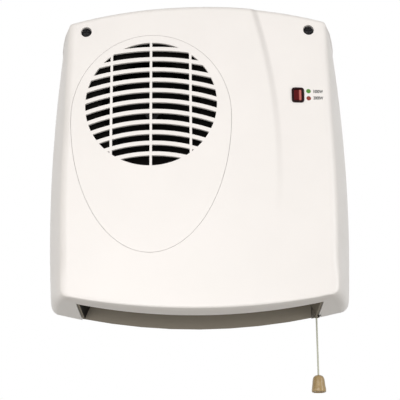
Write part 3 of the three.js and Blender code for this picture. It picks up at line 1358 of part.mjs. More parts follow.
// the bridge that holds the supply cable down on two bosses
function cableClamp() {
  const baseY = FLOOR_Y - CLAMP_STAND;
  const bridge = box(
    BLOCK_X - CLAMP_WIDTH / 2, BLOCK_X + CLAMP_WIDTH / 2, baseY - CLAMP_THICK, baseY,
    CLAMP_Z - CLAMP_HEIGHT / 2, CLAMP_Z + CLAMP_HEIGHT / 2,
  );
  const feet = [-1, 1].map((side) => barY(
    BLOCK_X + side * CLAMP_SCREW_SPACING, CLAMP_Z, CLAMP_HEIGHT / 2 - 0.4, FLOOR_Y, baseY - 0.5, 16,
  ));
  const holes = [-1, 1].map((side) => barY(
    BLOCK_X + side * CLAMP_SCREW_SPACING, CLAMP_Z, CLAMP_SCREW_RADIUS + FIT_GAP,
    1, baseY - CLAMP_THICK - 1, SMALL_SEGMENTS,
  ));
  return cut(join(bridge, ...feet), ...holes);
}

function clampScrew(side) {
  const seatY = FLOOR_Y - CLAMP_STAND - CLAMP_THICK - FIT_GAP;
  const x = BLOCK_X + side * CLAMP_SCREW_SPACING;
  const head = barY(x, CLAMP_Z, CLAMP_SCREW_HEAD_RADIUS, seatY, seatY - 2, 14);
  const shank = barY(x, CLAMP_Z, CLAMP_SCREW_RADIUS, FLOOR_Y, seatY - 0.5, 12);
  return join(head, shank).subtract(box(x - 3, x + 3, seatY - 3, seatY - 1, CLAMP_Z - 0.4, CLAMP_Z + 0.4));
}

// ---------------------------------------------------------------- pull switch and cord

const PIVOT_X = CORD_X - LEVER_ARM;
const SWITCH_LOW_Z = LEVER_Z + SWITCH_FOOT_RISE;

function pullSwitchBody() {
  const left = PIVOT_X - 2;
  const frontY = FLOOR_Y - SWITCH_DEPTH;
  let solid = box(left, left + SWITCH_WIDTH, frontY, FLOOR_Y, SWITCH_LOW_Z, SWITCH_LOW_Z + SWITCH_HEIGHT);
  for (const side of [-1, 1]) {
    const innerY = CORD_Y + side * EAR_HALF_WIDTH;
    const outerY = innerY + side * EAR_THICK;
    const ear = roundedRect(PIVOT_X - 3, PIVOT_X + 3, LEVER_Z - 3, SWITCH_LOW_Z + 3, 2.9);
    solid = solid.add(plate(ear, Math.max(innerY, outerY), Math.min(innerY, outerY), SMALL_ARC_SEGMENTS));
  }
  solid = solid.subtract(barY(PIVOT_X, LEVER_Z, PIVOT_RADIUS + FIT_GAP, 0, -30, 16));
  const slotHalf = FINGER_WIDTH / 2 + FINGER_SLOT;
  const fingerX = PIVOT_X + FINGER_X;
  return solid.subtract(box(
    fingerX - slotHalf, fingerX + slotHalf, CORD_Y - 2, CORD_Y + 2, SWITCH_LOW_Z - 1, SWITCH_LOW_Z + 6,
  ));
}

// a brass tab on the top of the switch
function switchTab(tab) {
  const top = SWITCH_LOW_Z + SWITCH_HEIGHT;
  const x = PIVOT_X - 2 + SWITCH_WIDTH * (tab + 0.5) / SWITCH_TAB_COUNT;
  const y = FLOOR_Y - SWITCH_DEPTH / 2;
  return box(
    x - TAB_THICK / 2, x + TAB_THICK / 2, y - TAB_WIDTH / 2, y + TAB_WIDTH / 2,
    top + FIT_GAP, top + TAB_LENGTH,
  );
}

// the lever that the cord pulls, drawn level about its pivot
function pullLever() {
  const half = LEVER_THICK / 2;
  const width = LEVER_WIDTH / 2;
  const arm = box(0, LEVER_ARM, -width, width, -half, half);
  const eye = barZ(LEVER_ARM, 0, LEVER_EYE_RADIUS - 0.6, -half, half);
  const pivotHalf = EAR_HALF_WIDTH + EAR_THICK;
  const pin = barY(0, 0, PIVOT_RADIUS, pivotHalf, -pivotHalf, 16);
  const boss = barY(0, 0, PIVOT_RADIUS + 1.1, width, -width, 16);
  const finger = box(
    FINGER_X - FINGER_WIDTH / 2, FINGER_X + FINGER_WIDTH / 2, -1.5, 1.5, 0, SWITCH_FOOT_RISE + 1.6,
  );
  const bore = barZ(LEVER_ARM, 0, LEVER_EYE_BORE, -half - 1, half + 1, 16);
  return join(arm, eye, pin, boss, finger).subtract(bore);
}

// a round cord of eight sides along a straight drop, in even steps
function cordTube(topZ0, bottomZ0, steps) {
  const section = new THREE.Shape();
  for (let side = 0; side < CORD_SIDES; side += 1) {
    const turn = 2 * Math.PI * side / CORD_SIDES;
    const point = [CORD_RADIUS * Math.cos(turn), CORD_RADIUS * Math.sin(turn)];
    if (side === 0) section.moveTo(...point);
    else section.lineTo(...point);
  }
  const points = [];
  for (let step = 0; step <= steps; step += 1) {
    points.push(new THREE.Vector3(CORD_X, CORD_Y, topZ0 + (bottomZ0 - topZ0) * step / steps));
  }
  const geometry = new THREE.ExtrudeGeometry(section, {
    steps, extrudePath: new THREE.CatmullRomCurve3(points), curveSegments: 1,
  });
  return asSolid(geometry);
}

const CORD_EXIT_Z = bottomZ(CORD_X) + MOUTH_RECESS - CORD_BUSH_FLANGE - 3 * FIT_GAP;
const ACORN_TOP_Z = CORD_EXIT_Z - FREE_CORD_LENGTH;

// the stretch of cord from the lever down to the bush, with the knot that rests on the lever
function switchCord() {
  const eyeZ = LEVER_Z + LEVER_ARM * Math.sin(radians(LEVER_REST_DEG));
  const knotZ = eyeZ + LEVER_THICK / 2 + KNOT_RADIUS + 1.4 * FIT_GAP;
  const knot = new THREE.SphereGeometry(KNOT_RADIUS, 12, 8);
  knot.rotateX(Math.PI / 2).translate(CORD_X, CORD_Y, knotZ);
  return asSolid(knot).add(cordTube(knotZ, CORD_EXIT_Z, 1));
}

// the flanged bush that guides the cord out of the housing
function cordBush() {
  const lowZ = CORD_EXIT_Z;
  return turnedZ(CORD_X, CORD_Y, [
    [CORD_BUSH_BORE, lowZ],
    [CORD_BUSH_FLANGE_RADIUS, lowZ],
    [CORD_BUSH_FLANGE_RADIUS, lowZ + CORD_BUSH_FLANGE],
    [CORD_BUSH_RADIUS, lowZ + CORD_BUSH_FLANGE],
    [CORD_BUSH_RADIUS, CORD_BOSS_TOP_Z + 1],
    [CORD_BUSH_BORE, CORD_BOSS_TOP_Z + 1],
    [CORD_BUSH_BORE, lowZ],
  ], 16);
}

const freeCord = () => cordTube(
  CORD_EXIT_Z - 2 * FIT_GAP, ACORN_TOP_Z - ACORN_HEIGHT * 0.35, CORD_STEPS,
);

// the thimble-shaped pull on the end of the cord
function cordPull() {
  const profile = [
    [ACORN_BORE, 0],
    [ACORN_NECK_RADIUS * 0.9, 0],
    [ACORN_RADIUS * 0.6, ACORN_HEIGHT * 0.06],
    [ACORN_RADIUS * 0.76, ACORN_HEIGHT * 0.18],
    [ACORN_RADIUS * 0.84, ACORN_HEIGHT * 0.34],
    [ACORN_RADIUS * 0.9, ACORN_HEIGHT * 0.58],
    [ACORN_RADIUS * 0.98, ACORN_HEIGHT * 0.78],
    [ACORN_RADIUS, ACORN_HEIGHT * 0.9],
    [ACORN_RADIUS * 0.95, ACORN_HEIGHT],
    [ACORN_RADIUS * 0.72, ACORN_HEIGHT],
    [ACORN_RADIUS * 0.66, ACORN_HEIGHT * 0.55],
    [ACORN_BORE, ACORN_HEIGHT * 0.5],
    [ACORN_BORE, 0],
  ];
  return turnedZ(CORD_X, CORD_Y, profile.map(([radius, drop]) => [radius, ACORN_TOP_Z - drop]));
}

// ---------------------------------------------------------------- indicator

// pieces of the indicator are drawn about the middle of its window, facing -Y
function indicatorBezel() {
  const halfWidth = BEZEL_WIDTH / 2;
  const halfHeight = BEZEL_HEIGHT / 2;
  const inner = (grow) => roundedRect(
    -LENS_WIDTH / 2 - grow, LENS_WIDTH / 2 + grow, -LENS_HEIGHT / 2 - grow, LENS_HEIGHT / 2 + grow, 1.2,
  );
  const body = halfWidth - BEZEL_FLANGE;
  const bodyHeight = halfHeight - BEZEL_FLANGE;
  const frontY = -FIT_GAP - BEZEL_PROUD;
  const rim = roundedRect(-halfWidth, halfWidth, -halfHeight, halfHeight, BEZEL_CORNER);
  const sleeve = roundedRect(-body, body, -bodyHeight, bodyHeight, BEZEL_BODY_WALL);
  return cut(
    join(
      plate(rim, -FIT_GAP, frontY, SMALL_ARC_SEGMENTS),
      plate(sleeve, BEZEL_BODY_DEPTH, -FIT_GAP - 0.2, SMALL_ARC_SEGMENTS),
    ),
    plate(inner(FIT_GAP), BEZEL_BODY_DEPTH + 1, frontY - 1, SMALL_ARC_SEGMENTS),
  );
}

function indicatorLens() {
  const face = roundedRect(-LENS_WIDTH / 2, LENS_WIDTH / 2, -LENS_HEIGHT / 2, LENS_HEIGHT / 2, 1);
  const dome = new THREE.ExtrudeGeometry(face, {
    depth: LENS_DEPTH, bevelEnabled: true, bevelThickness: 0.5, bevelSize: 0.6, bevelOffset: -0.6,
    bevelSegments: 2, curveSegments: SMALL_ARC_SEGMENTS,
  });
  dome.rotateX(Math.PI / 2).translate(0, LENS_DEPTH - 0.5, 0);
  const lampRoom = barY(0, 0, LAMP_RADIUS + FIT_GAP, LENS_DEPTH + 1, 2, 16);
  return asSolid(dome).subtract(lampRoom);
}

function indicatorLamp() {
  const frontY = 2 + FIT_GAP;
  return turnedY(0, 0, [
    [0, frontY + LAMP_LENGTH],
    [LAMP_RADIUS, frontY + LAMP_LENGTH],
    [LAMP_RADIUS, frontY + 1.2],
    [LAMP_RADIUS * 0.6, frontY + 0.3],
    [0, frontY],
  ], 14);
}

// ---------------------------------------------------------------- assembly

const finish = (color, roughness, metalness = 0) => new THREE.MeshStandardMaterial({
  color, roughness, metalness,
});
const whitePlastic = () => finish(0xf4f1ee, 0.42);
const greyPlastic = () => finish(0x7d766c, 0.55);
const blackPlastic = () => finish(0x15130f, 0.5);
const steel = () => finish(0xb9bcbe, 0.35, 1);
const blackSteel = () => finish(0x17171a, 0.4, 1);
const brass = () => finish(0xc9a24d, 0.35, 1);

const heater = new THREE.Group();

function place(parent, name, solid, material) {
  const mesh = new THREE.Mesh(asGeometry(solid), material);
  mesh.name = name;
  parent.add(mesh);
  return mesh;
}

function buildCasing(group) {
  place(group, 'front_cover', frontCover(), whitePlastic());
  place(group, 'intake_grille', intakeGrille(), whitePlastic());
  place(group, 'cover_screw_left', coverScrew(-1), blackSteel());
  place(group, 'cover_screw_right', coverScrew(1), blackSteel());
  place(group, 'rear_housing', rearHousing(), greyPlastic());
  place(group, 'outlet_nozzle', outletNozzle(), greyPlastic());
  place(group, 'outlet_guard', outletGuard(), blackPlastic());
}

function buildBlower(group) {
  place(group, 'scroll_housing', scrollHousing(), blackPlastic());
  place(group, 'inlet_plate', inletPlate(), blackPlastic());
  SCROLL_POSTS.forEach((post, i) => place(group, `scroll_screw_${i + 1}`, scrollScrew(post), steel()));
  place(group, 'impeller', impeller(), blackPlastic());
  place(group, 'impeller_clip', impellerClip(), steel());
  place(group, 'motor_shaft', motorShaft(), steel());
  place(group, 'motor_rotor', motorRotor(), finish(0xa7a9ab, 0.5, 1));
  place(group, 'motor_stator', motorStator(), finish(0x8d9093, 0.55, 1));
  place(group, 'shading_ring_lower', shadingBar(-1), finish(0xb4693a, 0.4, 1));
  place(group, 'shading_ring_upper', shadingBar(1), finish(0xb4693a, 0.4, 1));
  place(group, 'coil_bobbin', coilBobbin(), finish(0xe6e2d6, 0.5));
  place(group, 'motor_coil', motorCoil(), finish(0xa45a2a, 0.45, 1));
  place(group, 'motor_bracket_front', motorBracket(-1), steel());
  place(group, 'motor_bracket_rear', motorBracket(1), steel());
  place(group, 'motor_bush_front', motorBush(-1), finish(0x9c7b3f, 0.6, 1));
  place(group, 'motor_bush_rear', motorBush(1), finish(0x9c7b3f, 0.6, 1));
  place(group, 'motor_screw_left', motorScrew(-1), steel());
  place(group, 'motor_screw_right', motorScrew(1), steel());
}

function buildHeater(group) {
  place(group, 'heater_frame', heaterFrame(), blackPlastic());
  for (let bar = 0; bar < PTC_COUNT; bar += 1) {
    place(group, `ptc_bar_${bar + 1}`, ptcBar(bar), finish(0xc4c6c8, 0.45, 1));
  }
  for (let row = 0; row <= PTC_COUNT; row += 1) {
    place(group, `heater_fins_${row + 1}`, finRow(row), finish(0xcfd1d3, 0.4, 1));
  }
  place(group, 'thermal_cutout', thermalCutout(), steel());
  place(group, 'thermal_fuse', thermalFuse(), steel());
}

function buildWiringParts(group) {
  place(group, 'terminal_block', terminalBlock(), finish(0xd9d3c4, 0.5));
  for (let way = 0; way < TERMINAL_COUNT; way += 1) {
    place(group, `terminal_screw_${way + 1}`, terminalScrew(way), brass());
  }
  place(group, 'cable_grommet', cableGrommet(), finish(0x1b1b1b, 0.8));
  place(group, 'cable_clamp', cableClamp(), finish(0xd9d3c4, 0.5));
  place(group, 'clamp_screw_left', clampScrew(-1), steel());
  place(group, 'clamp_screw_right', clampScrew(1), steel());
}

function buildSwitch(group) {
  place(group, 'pull_switch_body', pullSwitchBody(), finish(0x2b2b2b, 0.5));
  for (let tab = 0; tab < SWITCH_TAB_COUNT; tab += 1) {
    place(group, `switch_tab_${tab + 1}`, switchTab(tab), brass());
  }
  const lever = place(group, 'pull_switch_lever', pullLever(), finish(0xe9e6df, 0.5));
  lever.position.set(PIVOT_X, CORD_Y, LEVER_Z);
  lever.rotation.y = -radians(LEVER_REST_DEG);
  place(group, 'switch_cord', switchCord(), finish(0xd2d4c8, 0.7));
  place(group, 'cord_bush', cordBush(), finish(0xe4e0d4, 0.5));
  place(group, 'pull_cord', freeCord(), finish(0xd2d4c8, 0.7));
  place(group, 'cord_pull', cordPull(), finish(0xb9a177, 0.35));
}

// the indicator leans with the crowned face
function buildIndicator(group) {
  const lean = Math.atan(2 * CROWN * INDICATOR_X / HALF_WIDTH ** 2);
  const unit = new THREE.Group();
  unit.position.set(INDICATOR_X, faceY(INDICATOR_X, INDICATOR_Z), INDICATOR_Z);
  unit.rotation.z = lean;
  place(unit, 'indicator_bezel', indicatorBezel(), blackPlastic());
  place(unit, 'indicator_lens', indicatorLens(), finish(0x8a0d14, 0.12));
  place(unit, 'indicator_lamp', indicatorLamp(), finish(0xe8c9a0, 0.2));
  group.add(unit);
}

buildCasing(heater);
buildBlower(heater);
buildHeater(heater);
buildWiringParts(heater);
buildSwitch(heater);
buildIndicator(heater);

export default heater;
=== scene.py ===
"""Bathroom wall fan heater with a pull cord: its looks, light and camera.

Lengths in the moulding section are millimetres and become metres where meshes are made.
The origin lies on the wall face, +X is right, +Y goes into the wall and +Z is up.
"""
import math

import bmesh
import bpy
from mathutils import Matrix, Vector
from mathutils.bvhtree import BVHTree


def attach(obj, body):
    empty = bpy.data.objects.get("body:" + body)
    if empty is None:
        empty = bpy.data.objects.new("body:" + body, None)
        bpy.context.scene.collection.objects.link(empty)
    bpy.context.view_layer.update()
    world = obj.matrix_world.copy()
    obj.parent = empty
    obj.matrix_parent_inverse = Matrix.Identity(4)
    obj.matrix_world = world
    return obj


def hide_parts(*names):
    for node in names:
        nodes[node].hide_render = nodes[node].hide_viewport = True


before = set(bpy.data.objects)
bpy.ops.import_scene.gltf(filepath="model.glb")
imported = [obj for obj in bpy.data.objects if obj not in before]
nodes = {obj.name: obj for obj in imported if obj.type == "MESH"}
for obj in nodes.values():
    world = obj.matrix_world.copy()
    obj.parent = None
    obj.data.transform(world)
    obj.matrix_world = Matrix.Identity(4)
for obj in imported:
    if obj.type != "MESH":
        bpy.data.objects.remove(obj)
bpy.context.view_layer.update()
scene = bpy.context.scene
MM = 0.001

# ------------------------------------------------------------------ camera

FOCAL_PX = 1320.0
IMAGE_PX = 400.0
SENSOR_MM = 36.0
CAMERA_AT = (0.00275, -1.133, -0.35507)
CAMERA_YAW_DEG = 0.099
CAMERA_PITCH_DEG = 16.609
CAMERA_ROLL_DEG = -0.517


def add_camera():
    data = bpy.data.cameras.new("camera")
    data.sensor_width = SENSOR_MM
    data.lens = FOCAL_PX / IMAGE_PX * SENSOR_MM
    camera = bpy.data.objects.new("camera", data)
    yaw = Matrix.Rotation(math.radians(CAMERA_YAW_DEG), 4, "Z")
    pitch = Matrix.Rotation(math.radians(90 + CAMERA_PITCH_DEG), 4, "X")
    roll = Matrix.Rotation(math.radians(CAMERA_ROLL_DEG), 4, "Z")
    camera.matrix_world = Matrix.Translation(CAMERA_AT) @ yaw @ pitch @ roll
    scene.collection.objects.link(camera)
    scene.camera = camera


add_camera()

# ------------------------------------------------------------------ driving sizes, millimetres

HALF_WIDTH, HALF_HEIGHT = 132.4, 136.0
SIDE_ARC_RADIUS, SIDE_ARC_Z = 1280.0, -34.0
TOP_ARC_RADIUS, BOTTOM_ARC_RADIUS = 485.0, 510.0
TOP_CORNER_RADIUS, BOTTOM_CORNER_RADIUS = 3.5, 10.0
SIDE_FLARE, BOTTOM_FLARE = 15.0, 1.8
FILLET_END_DEG, FLARE_POWER, FLARE_STEPS = 70.0, 1.6, 4
TOP_EASE, TOP_EASE_Z = 4.5, 20.0
COVER_DEPTH, CROWN, FACE_LEAN = 88.0, 9.0, 0.03
COVER_WALL, WALL_SHADOW_GAP, INNER_REAR_Y = 2.6, 1.2, 5
OUTER_STEPS, INNER_STEPS = 10, 4
SIDE_FILLET, TOP_FILLET, BOTTOM_FILLET, CORNER_FILLET = 9.0, 5.0, 2.2, 6.0
CREASE_X, CREASE_Z, CREASE_RADIUS = 68.0, -7.0, 508.0
CREASE_BAND, CREASE_STEP, CREASE_SWELL_X, CREASE_FADE_Z = 6.0, 1.6, -10.0, -60.0
# How strongly shade is painted along the crease, at the top of the face.
CREASE_SHADE = 0.22
EGG_X, EGG_Z = -40.1, 33.9
EGG_HALF_WIDTH, EGG_TOP, EGG_BOTTOM = 68.7, 74.4, 121.1
PARTING_GAP, VISIBLE_GAP = 0.4, 0.2
FAN_X, FAN_Z, GRILLE_RADIUS = -40.1, 44.9, 56.2
BAR_COUNT, BAR_HEIGHT, BAR_PITCH = 11, 3.5, 9.59
TOP_BAR_RISE, BAR_ARC_CENTRE_DROP, BAR_STEPS = 48.7, 166.6, 40
RIB_COUNT, RIB_WIDTH, RIB_PITCH = 3, 2.1, 33.8
MOUTH_HALF_WIDTH, MOUTH_FRONT_Y, MOUTH_RISE = 102.5, -62.0, 18.0
SCREW_X, SCREW_Z, COUNTERBORE_RADIUS, COUNTERBORE_FLOOR_Y = 96.5, 113.6, 4.7, -71.5
BOSS_RADIUS, BOSS_FLOOR, SCREW_HOLE_RADIUS = 7.2, 3.0, 2.2
INDICATOR_X, INDICATOR_Z = 85.2, 51.9
WINDOW_HALF_WIDTH, WINDOW_HALF_HEIGHT = 4.55, 6.0
# How far right of the indicator's middle the lens's painted highlight stands.
GLEAM_OFFSET = 2.0
CORD_X, CORD_Y, CORD_RADIUS = 100.7, -8.5, 0.75
CORD_TOP_Z, CORD_LOW_Z, CORD_POINTS = -127.4595, -182.0345, 18
ACORN_TOP_Z, ACORN_HEIGHT = -176.9595, 14.5
CORD_BOSS_HALF, CORD_BOSS_TOP_Z = 4.0, -113.7
# Cutting bodies reach from BEHIND_Y, inside the casing, to BEYOND_Y, in front of it.
BEHIND_Y, BEYOND_Y = -50.0, -98.0

# ------------------------------------------------------------------ cover outline and face


def side_x(z):
    return HALF_WIDTH - SIDE_ARC_RADIUS + math.sqrt(SIDE_ARC_RADIUS**2 - (z - SIDE_ARC_Z) ** 2)


def top_z(x):
    return HALF_HEIGHT - TOP_ARC_RADIUS + math.sqrt(TOP_ARC_RADIUS**2 - x * x)


def bottom_z(x):
    return -HALF_HEIGHT + BOTTOM_ARC_RADIUS - math.sqrt(BOTTOM_ARC_RADIUS**2 - x * x)


def crease_x(z):
    return CREASE_X - CREASE_RADIUS + math.sqrt(CREASE_RADIUS**2 - (z - CREASE_Z) ** 2)


def smoothstep(value, low, high):
    share = min(max((value - low) / (high - low), 0.0), 1.0)
    return share * share * (3 - 2 * share)


def crease_swell(x, z):
    """How far the face swells out before the crease, less further down."""
    ridge = crease_x(z) - CREASE_BAND / 2
    rise = smoothstep(x, CREASE_SWELL_X, ridge)
    fall = smoothstep(x, ridge, ridge + CREASE_BAND)
    along = min(max((z - CREASE_FADE_Z) / (HALF_HEIGHT - CREASE_FADE_Z), 0.0), 1.0)
    return CREASE_STEP * (rise - fall) * along


def face_y(x, z):
    crowned = COVER_DEPTH - CROWN * (x / HALF_WIDTH) ** 2 - FACE_LEAN * (z + HALF_HEIGHT)
    return -crowned - crease_swell(x, z)


def face_normal(x, z, step=0.5):
    dx = (face_y(x + step, z) - face_y(x - step, z)) / (2 * step)
    dz = (face_y(x, z + step) - face_y(x, z - step)) / (2 * step)
    return Vector((dx, -1.0, dz)).normalized()


def side_edge(z, inset):
    """Half width at height z of the ring that lies inset from the edge at the wall."""
    front_share = min(max(inset / SIDE_FLARE, 0), 1)
    return side_x(z) - inset + TOP_EASE * smoothstep(z, TOP_EASE_Z, HALF_HEIGHT) * front_share


def corner_point(is_top, side_inset, end_inset):
    x = HALF_WIDTH - side_inset
    z = 0.0
    for _ in range(6):
        z = top_z(x) - end_inset if is_top else bottom_z(x) + end_inset
        x = side_edge(z, side_inset)
    return x, z


CORNER_SHARES = [0, 0.12, 0.25, 0.4, 0.58, 0.8, 1.1]


def edge_fractions(length, start_radius, end_radius, middle_count):
    start = [share * start_radius / length for share in CORNER_SHARES]
    end = [1 - share * end_radius / length for share in reversed(CORNER_SHARES)]
    span = end[0] - start[-1]
    middle = [start[-1] + span * i / middle_count for i in range(1, middle_count)]
    return start + middle + end


def column_shares(corner_share, rest_count):
    near = [share * corner_share for share in CORNER_SHARES]
    rest = [near[-1] + (1 - near[-1]) * i / rest_count for i in range(1, rest_count + 1)]
    return near + rest


ROWS = edge_fractions(2 * HALF_HEIGHT, BOTTOM_CORNER_RADIUS, TOP_CORNER_RADIUS, 56)
LEFT_COLUMNS = column_shares(0.05, 40)
RIGHT_COLUMNS = [1 - share for share in reversed(column_shares(0.12, 14))]
BAND_SHARES = [-0.5, -0.375, -0.25, -0.125, 0, 0.125, 0.25, 0.375, 0.5]


def column_xs(left_x, right_x, z):
    middle = crease_x(z)
    band_left = middle - CREASE_BAND / 2
    band_right = middle + CREASE_BAND / 2
    left = [left_x + share * (band_left - left_x) for share in LEFT_COLUMNS[:-1]]
    right = [band_right + share * (right_x - band_right) for share in RIGHT_COLUMNS[1:]]
    return left + [middle + share * CREASE_BAND for share in BAND_SHARES] + right


def outline_grid(side_inset, top_inset, bottom_inset):
    low_x, low_z = corner_point(False, side_inset, bottom_inset)
    high_x, high_z = corner_point(True, side_inset, top_inset)
    rows = []
    for share in ROWS:
        edge_z = low_z + share * (high_z - low_z)
        edge_x = side_edge(edge_z, side_inset)
        row = []
        for x in column_xs(-edge_x, edge_x, edge_z):
            across = x / edge_x
            below = bottom_z(across * low_x) + bottom_inset
            above = top_z(across * high_x) - top_inset
            row.append((x, below + share * (above - below)))
        rows.append(row)
    return rows


def border_places(grid):
    """Row and column of each outer point of a grid, once round."""
    last_row, last_column = len(grid) - 1, len(grid[0]) - 1
    places = [(0, i) for i in range(last_column)]
    places += [(j, last_column) for j in range(last_row)]
    places += [(last_row, i) for i in range(last_column, 0, -1)]
    places += [(j, 0) for j in range(last_row, 0, -1)]
    return places


def border_of(grid):
    return [grid[j][i] for j, i in border_places(grid)]


def round_corners(border, side_inset, top_inset, bottom_inset):
    corners = []
    for is_top in (False, True):
        end_inset = top_inset if is_top else bottom_inset
        nominal = TOP_CORNER_RADIUS if is_top else BOTTOM_CORNER_RADIUS
        radius = max(nominal - min(side_inset, end_inset), 0.8)
        cx, cz = corner_point(is_top, side_inset + radius, end_inset + radius)
        arc = TOP_ARC_RADIUS if is_top else BOTTOM_ARC_RADIUS
        slope = (-cx if is_top else cx) / math.sqrt(arc * arc - cx * cx)
        corners += [(is_top, side, radius, cx, cz, slope) for side in (-1, 1)]
    rounded = []
    for x, z in border:
        for is_top, side, radius, cx, cz, slope in corners:
            dx, dz = side * x - cx, z - cz
            past = dz > 0 if is_top else dz < 0
            if past and dx + dz * slope > 0:
                scale = radius / math.hypot(dx, dz)
                x, z = side * (cx + dx * scale), cz + dz * scale
                break
        rounded.append((x, z))
    return rounded


def fillet_reach(border, shrink):
    low_z = corner_point(False, SIDE_FLARE, BOTTOM_FLARE)[1]
    high_z = corner_point(True, SIDE_FLARE, 0)[1]
    reaches = []
    for x, z in border:
        from_top, from_bottom = high_z - z, z - low_z
        near_end = smoothstep(side_edge(z, SIDE_FLARE) - abs(x), SIDE_FILLET, 3 * SIDE_FILLET)
        at_top = from_top < from_bottom
        end_reach = TOP_FILLET if at_top else BOTTOM_FILLET
        corner = CORNER_FILLET if at_top else (CORNER_FILLET + BOTTOM_FILLET) / 2
        along = smoothstep(min(from_top, from_bottom), SIDE_FILLET, 4 * SIDE_FILLET)
        on_side = corner + along * (SIDE_FILLET - corner)
        reaches.append(max(on_side + near_end * (end_reach - on_side) - shrink, 0.6))
    return reaches


def cover_blank(name, inset, rear_y, steps):
    """The closed body of the cover, drawn in by inset all round and in front."""
    side = max(SIDE_FILLET - inset, 1.5)
    top = max(TOP_FILLET - inset, 1.2)
    bottom = max(BOTTOM_FILLET - inset, 0.8)

    def insets_at(flare, left):
        return (
            inset + SIDE_FLARE * flare + side * left,
            inset + top * left,
            inset + BOTTOM_FLARE * flare + bottom * left,
        )

    grid = outline_grid(*insets_at(1, 1))
    edge = round_corners(border_of(grid), *insets_at(1, 1))
    reach = fillet_reach(edge, inset)
    edge_ys = [face_y(x, z) + inset for x, z in edge]
    vertices = []
    index = [[None] * len(grid[0]) for _ in grid]
    last_row, last_column = len(grid) - 1, len(grid[0]) - 1
    for (j, i), (x, z), y in zip(border_places(grid), edge, edge_ys):
        index[j][i] = len(vertices)
        vertices.append((x, y, z))
    rings = [list(range(len(vertices)))]
    for j in range(1, last_row):
        for i in range(1, last_column):
            x, z = grid[j][i]
            index[j][i] = len(vertices)
            vertices.append((x, face_y(x, z) + inset, z))
    faces = []
    for j in range(last_row):
        for i in range(last_column):
            faces.append((index[j][i], index[j][i + 1], index[j + 1][i + 1], index[j + 1][i]))

    def add_ring(insets, ys):
        border = round_corners(border_of(outline_grid(*insets)), *insets)
        first = len(vertices)
        vertices.extend((x, y, z) for (x, z), y in zip(border, ys))
        rings.append(list(range(first, first + len(border))))

    fillet_end = math.radians(FILLET_END_DEG)
    for step in range(1, steps + 1):
        angle = fillet_end * step / steps
        back = 1 - math.cos(angle)
        fillet_ys = [y + depth * back for y, depth in zip(edge_ys, reach)]
        add_ring(insets_at(1, 1 - math.sin(angle)), fillet_ys)
    for step in range(1, FLARE_STEPS + 1):
        share = step / FLARE_STEPS
        flare = (1 - share) ** FLARE_POWER
        left = (1 - math.sin(fillet_end)) * (1 - share)
        add_ring(insets_at(flare, left), [y + (rear_y - y) * share for y in fillet_ys])
    for front, back in zip(rings, rings[1:]):
        for i in range(len(front)):
            j = (i + 1) % len(front)
            faces.append((back[i], back[j], front[j], front[i]))
    faces.append(tuple(reversed(rings[-1])))
    return add_mesh(name, vertices, faces)


# ------------------------------------------------------------------ mesh helpers


def add_mesh(name, vertices, faces, scale=MM):
    mesh = bpy.data.meshes.new(name)
    mesh.from_pydata([tuple(scale * value for value in v) for v in vertices], [], faces)
    work = bmesh.new()
    work.from_mesh(mesh)
    bmesh.ops.recalc_face_normals(work, faces=work.faces)
    work.to_mesh(mesh)
    work.free()
    piece = bpy.data.objects.new(name, mesh)
    scene.collection.objects.link(piece)
    return piece


def prism(name, outline, rear_y, front_y):
    """A body whose outline is drawn in X and Z and that stands from rear_y to front_y."""
    count = len(outline)
    vertices = [(x, rear_y, z) for x, z in outline] + [(x, front_y, z) for x, z in outline]
    faces = [(i, (i + 1) % count, count + (i + 1) % count, count + i) for i in range(count)]
    faces += [tuple(reversed(range(count))), tuple(range(count, 2 * count))]
    return add_mesh(name, vertices, faces)


def box(name, x0, x1, y0, y1, z0, z1):
    return prism(name, [(x0, z0), (x1, z0), (x1, z1), (x0, z1)], y1, y0)


def circle(x, z, radius, count=64):
    turns = [2 * math.pi * i / count for i in range(count)]
    return [(x + radius * math.cos(turn), z + radius * math.sin(turn)) for turn in turns]


def egg(inset, count=180):
    outline = []
    for i in range(count):
        turn = 2 * math.pi * i / count
        rise = EGG_TOP if math.sin(turn) > 0 else EGG_BOTTOM
        outline.append((
            EGG_X + (EGG_HALF_WIDTH - inset) * math.cos(turn),
            EGG_Z + (rise - inset) * math.sin(turn),
        ))
    return outline


def combine(target, other, operation):
    """Applies a boolean of another body, which is used up."""
    modifier = target.modifiers.new("combine", "BOOLEAN")
    modifier.operation = operation
    modifier.solver = "EXACT"
    modifier.object = other
    with bpy.context.temp_override(object=target, active_object=target):
        bpy.ops.object.modifier_apply(modifier=modifier.name)
    bpy.data.objects.remove(other)


def copy_of(piece, name):
    twin = piece.copy()
    twin.data = piece.data.copy()
    twin.name = name
    scene.collection.objects.link(twin)
    return twin


def triangle_weights(point, a, b, c):
    ab, ac, ap = b - a, c - a, point - a
    d00, d01, d11 = ab.dot(ab), ab.dot(ac), ac.dot(ac)
    d20, d21 = ap.dot(ab), ap.dot(ac)
    area = d00 * d11 - d01 * d01
    if abs(area) < 1e-24:
        return 1.0, 0.0, 0.0
    v = (d11 * d20 - d01 * d21) / area
    w = (d00 * d21 - d01 * d20) / area
    return 1 - v - w, v, w


class SmoothSkin:
    """The normals of an uncut smooth body, to be read anywhere on its surface."""

    def __init__(self, piece):
        mesh = piece.data
        mesh.calc_loop_triangles()
        self.points = [vertex.co.copy() for vertex in mesh.vertices]
        self.normals = [vertex.normal.copy() for vertex in mesh.vertices]
        self.triangles = [tuple(triangle.vertices) for triangle in mesh.loop_triangles]
        self.tree = BVHTree.FromPolygons(self.points, self.triangles)

    def normal_at(self, point, reach):
        _, normal, index, distance = self.tree.find_nearest(point)
        if index is None or distance > reach:
            return None, None
        corners = self.triangles[index]
        weights = triangle_weights(point, *(self.points[i] for i in corners))
        blended = sum((self.normals[i] * w for i, w in zip(corners, weights)), Vector())
        return blended.normalized(), normal


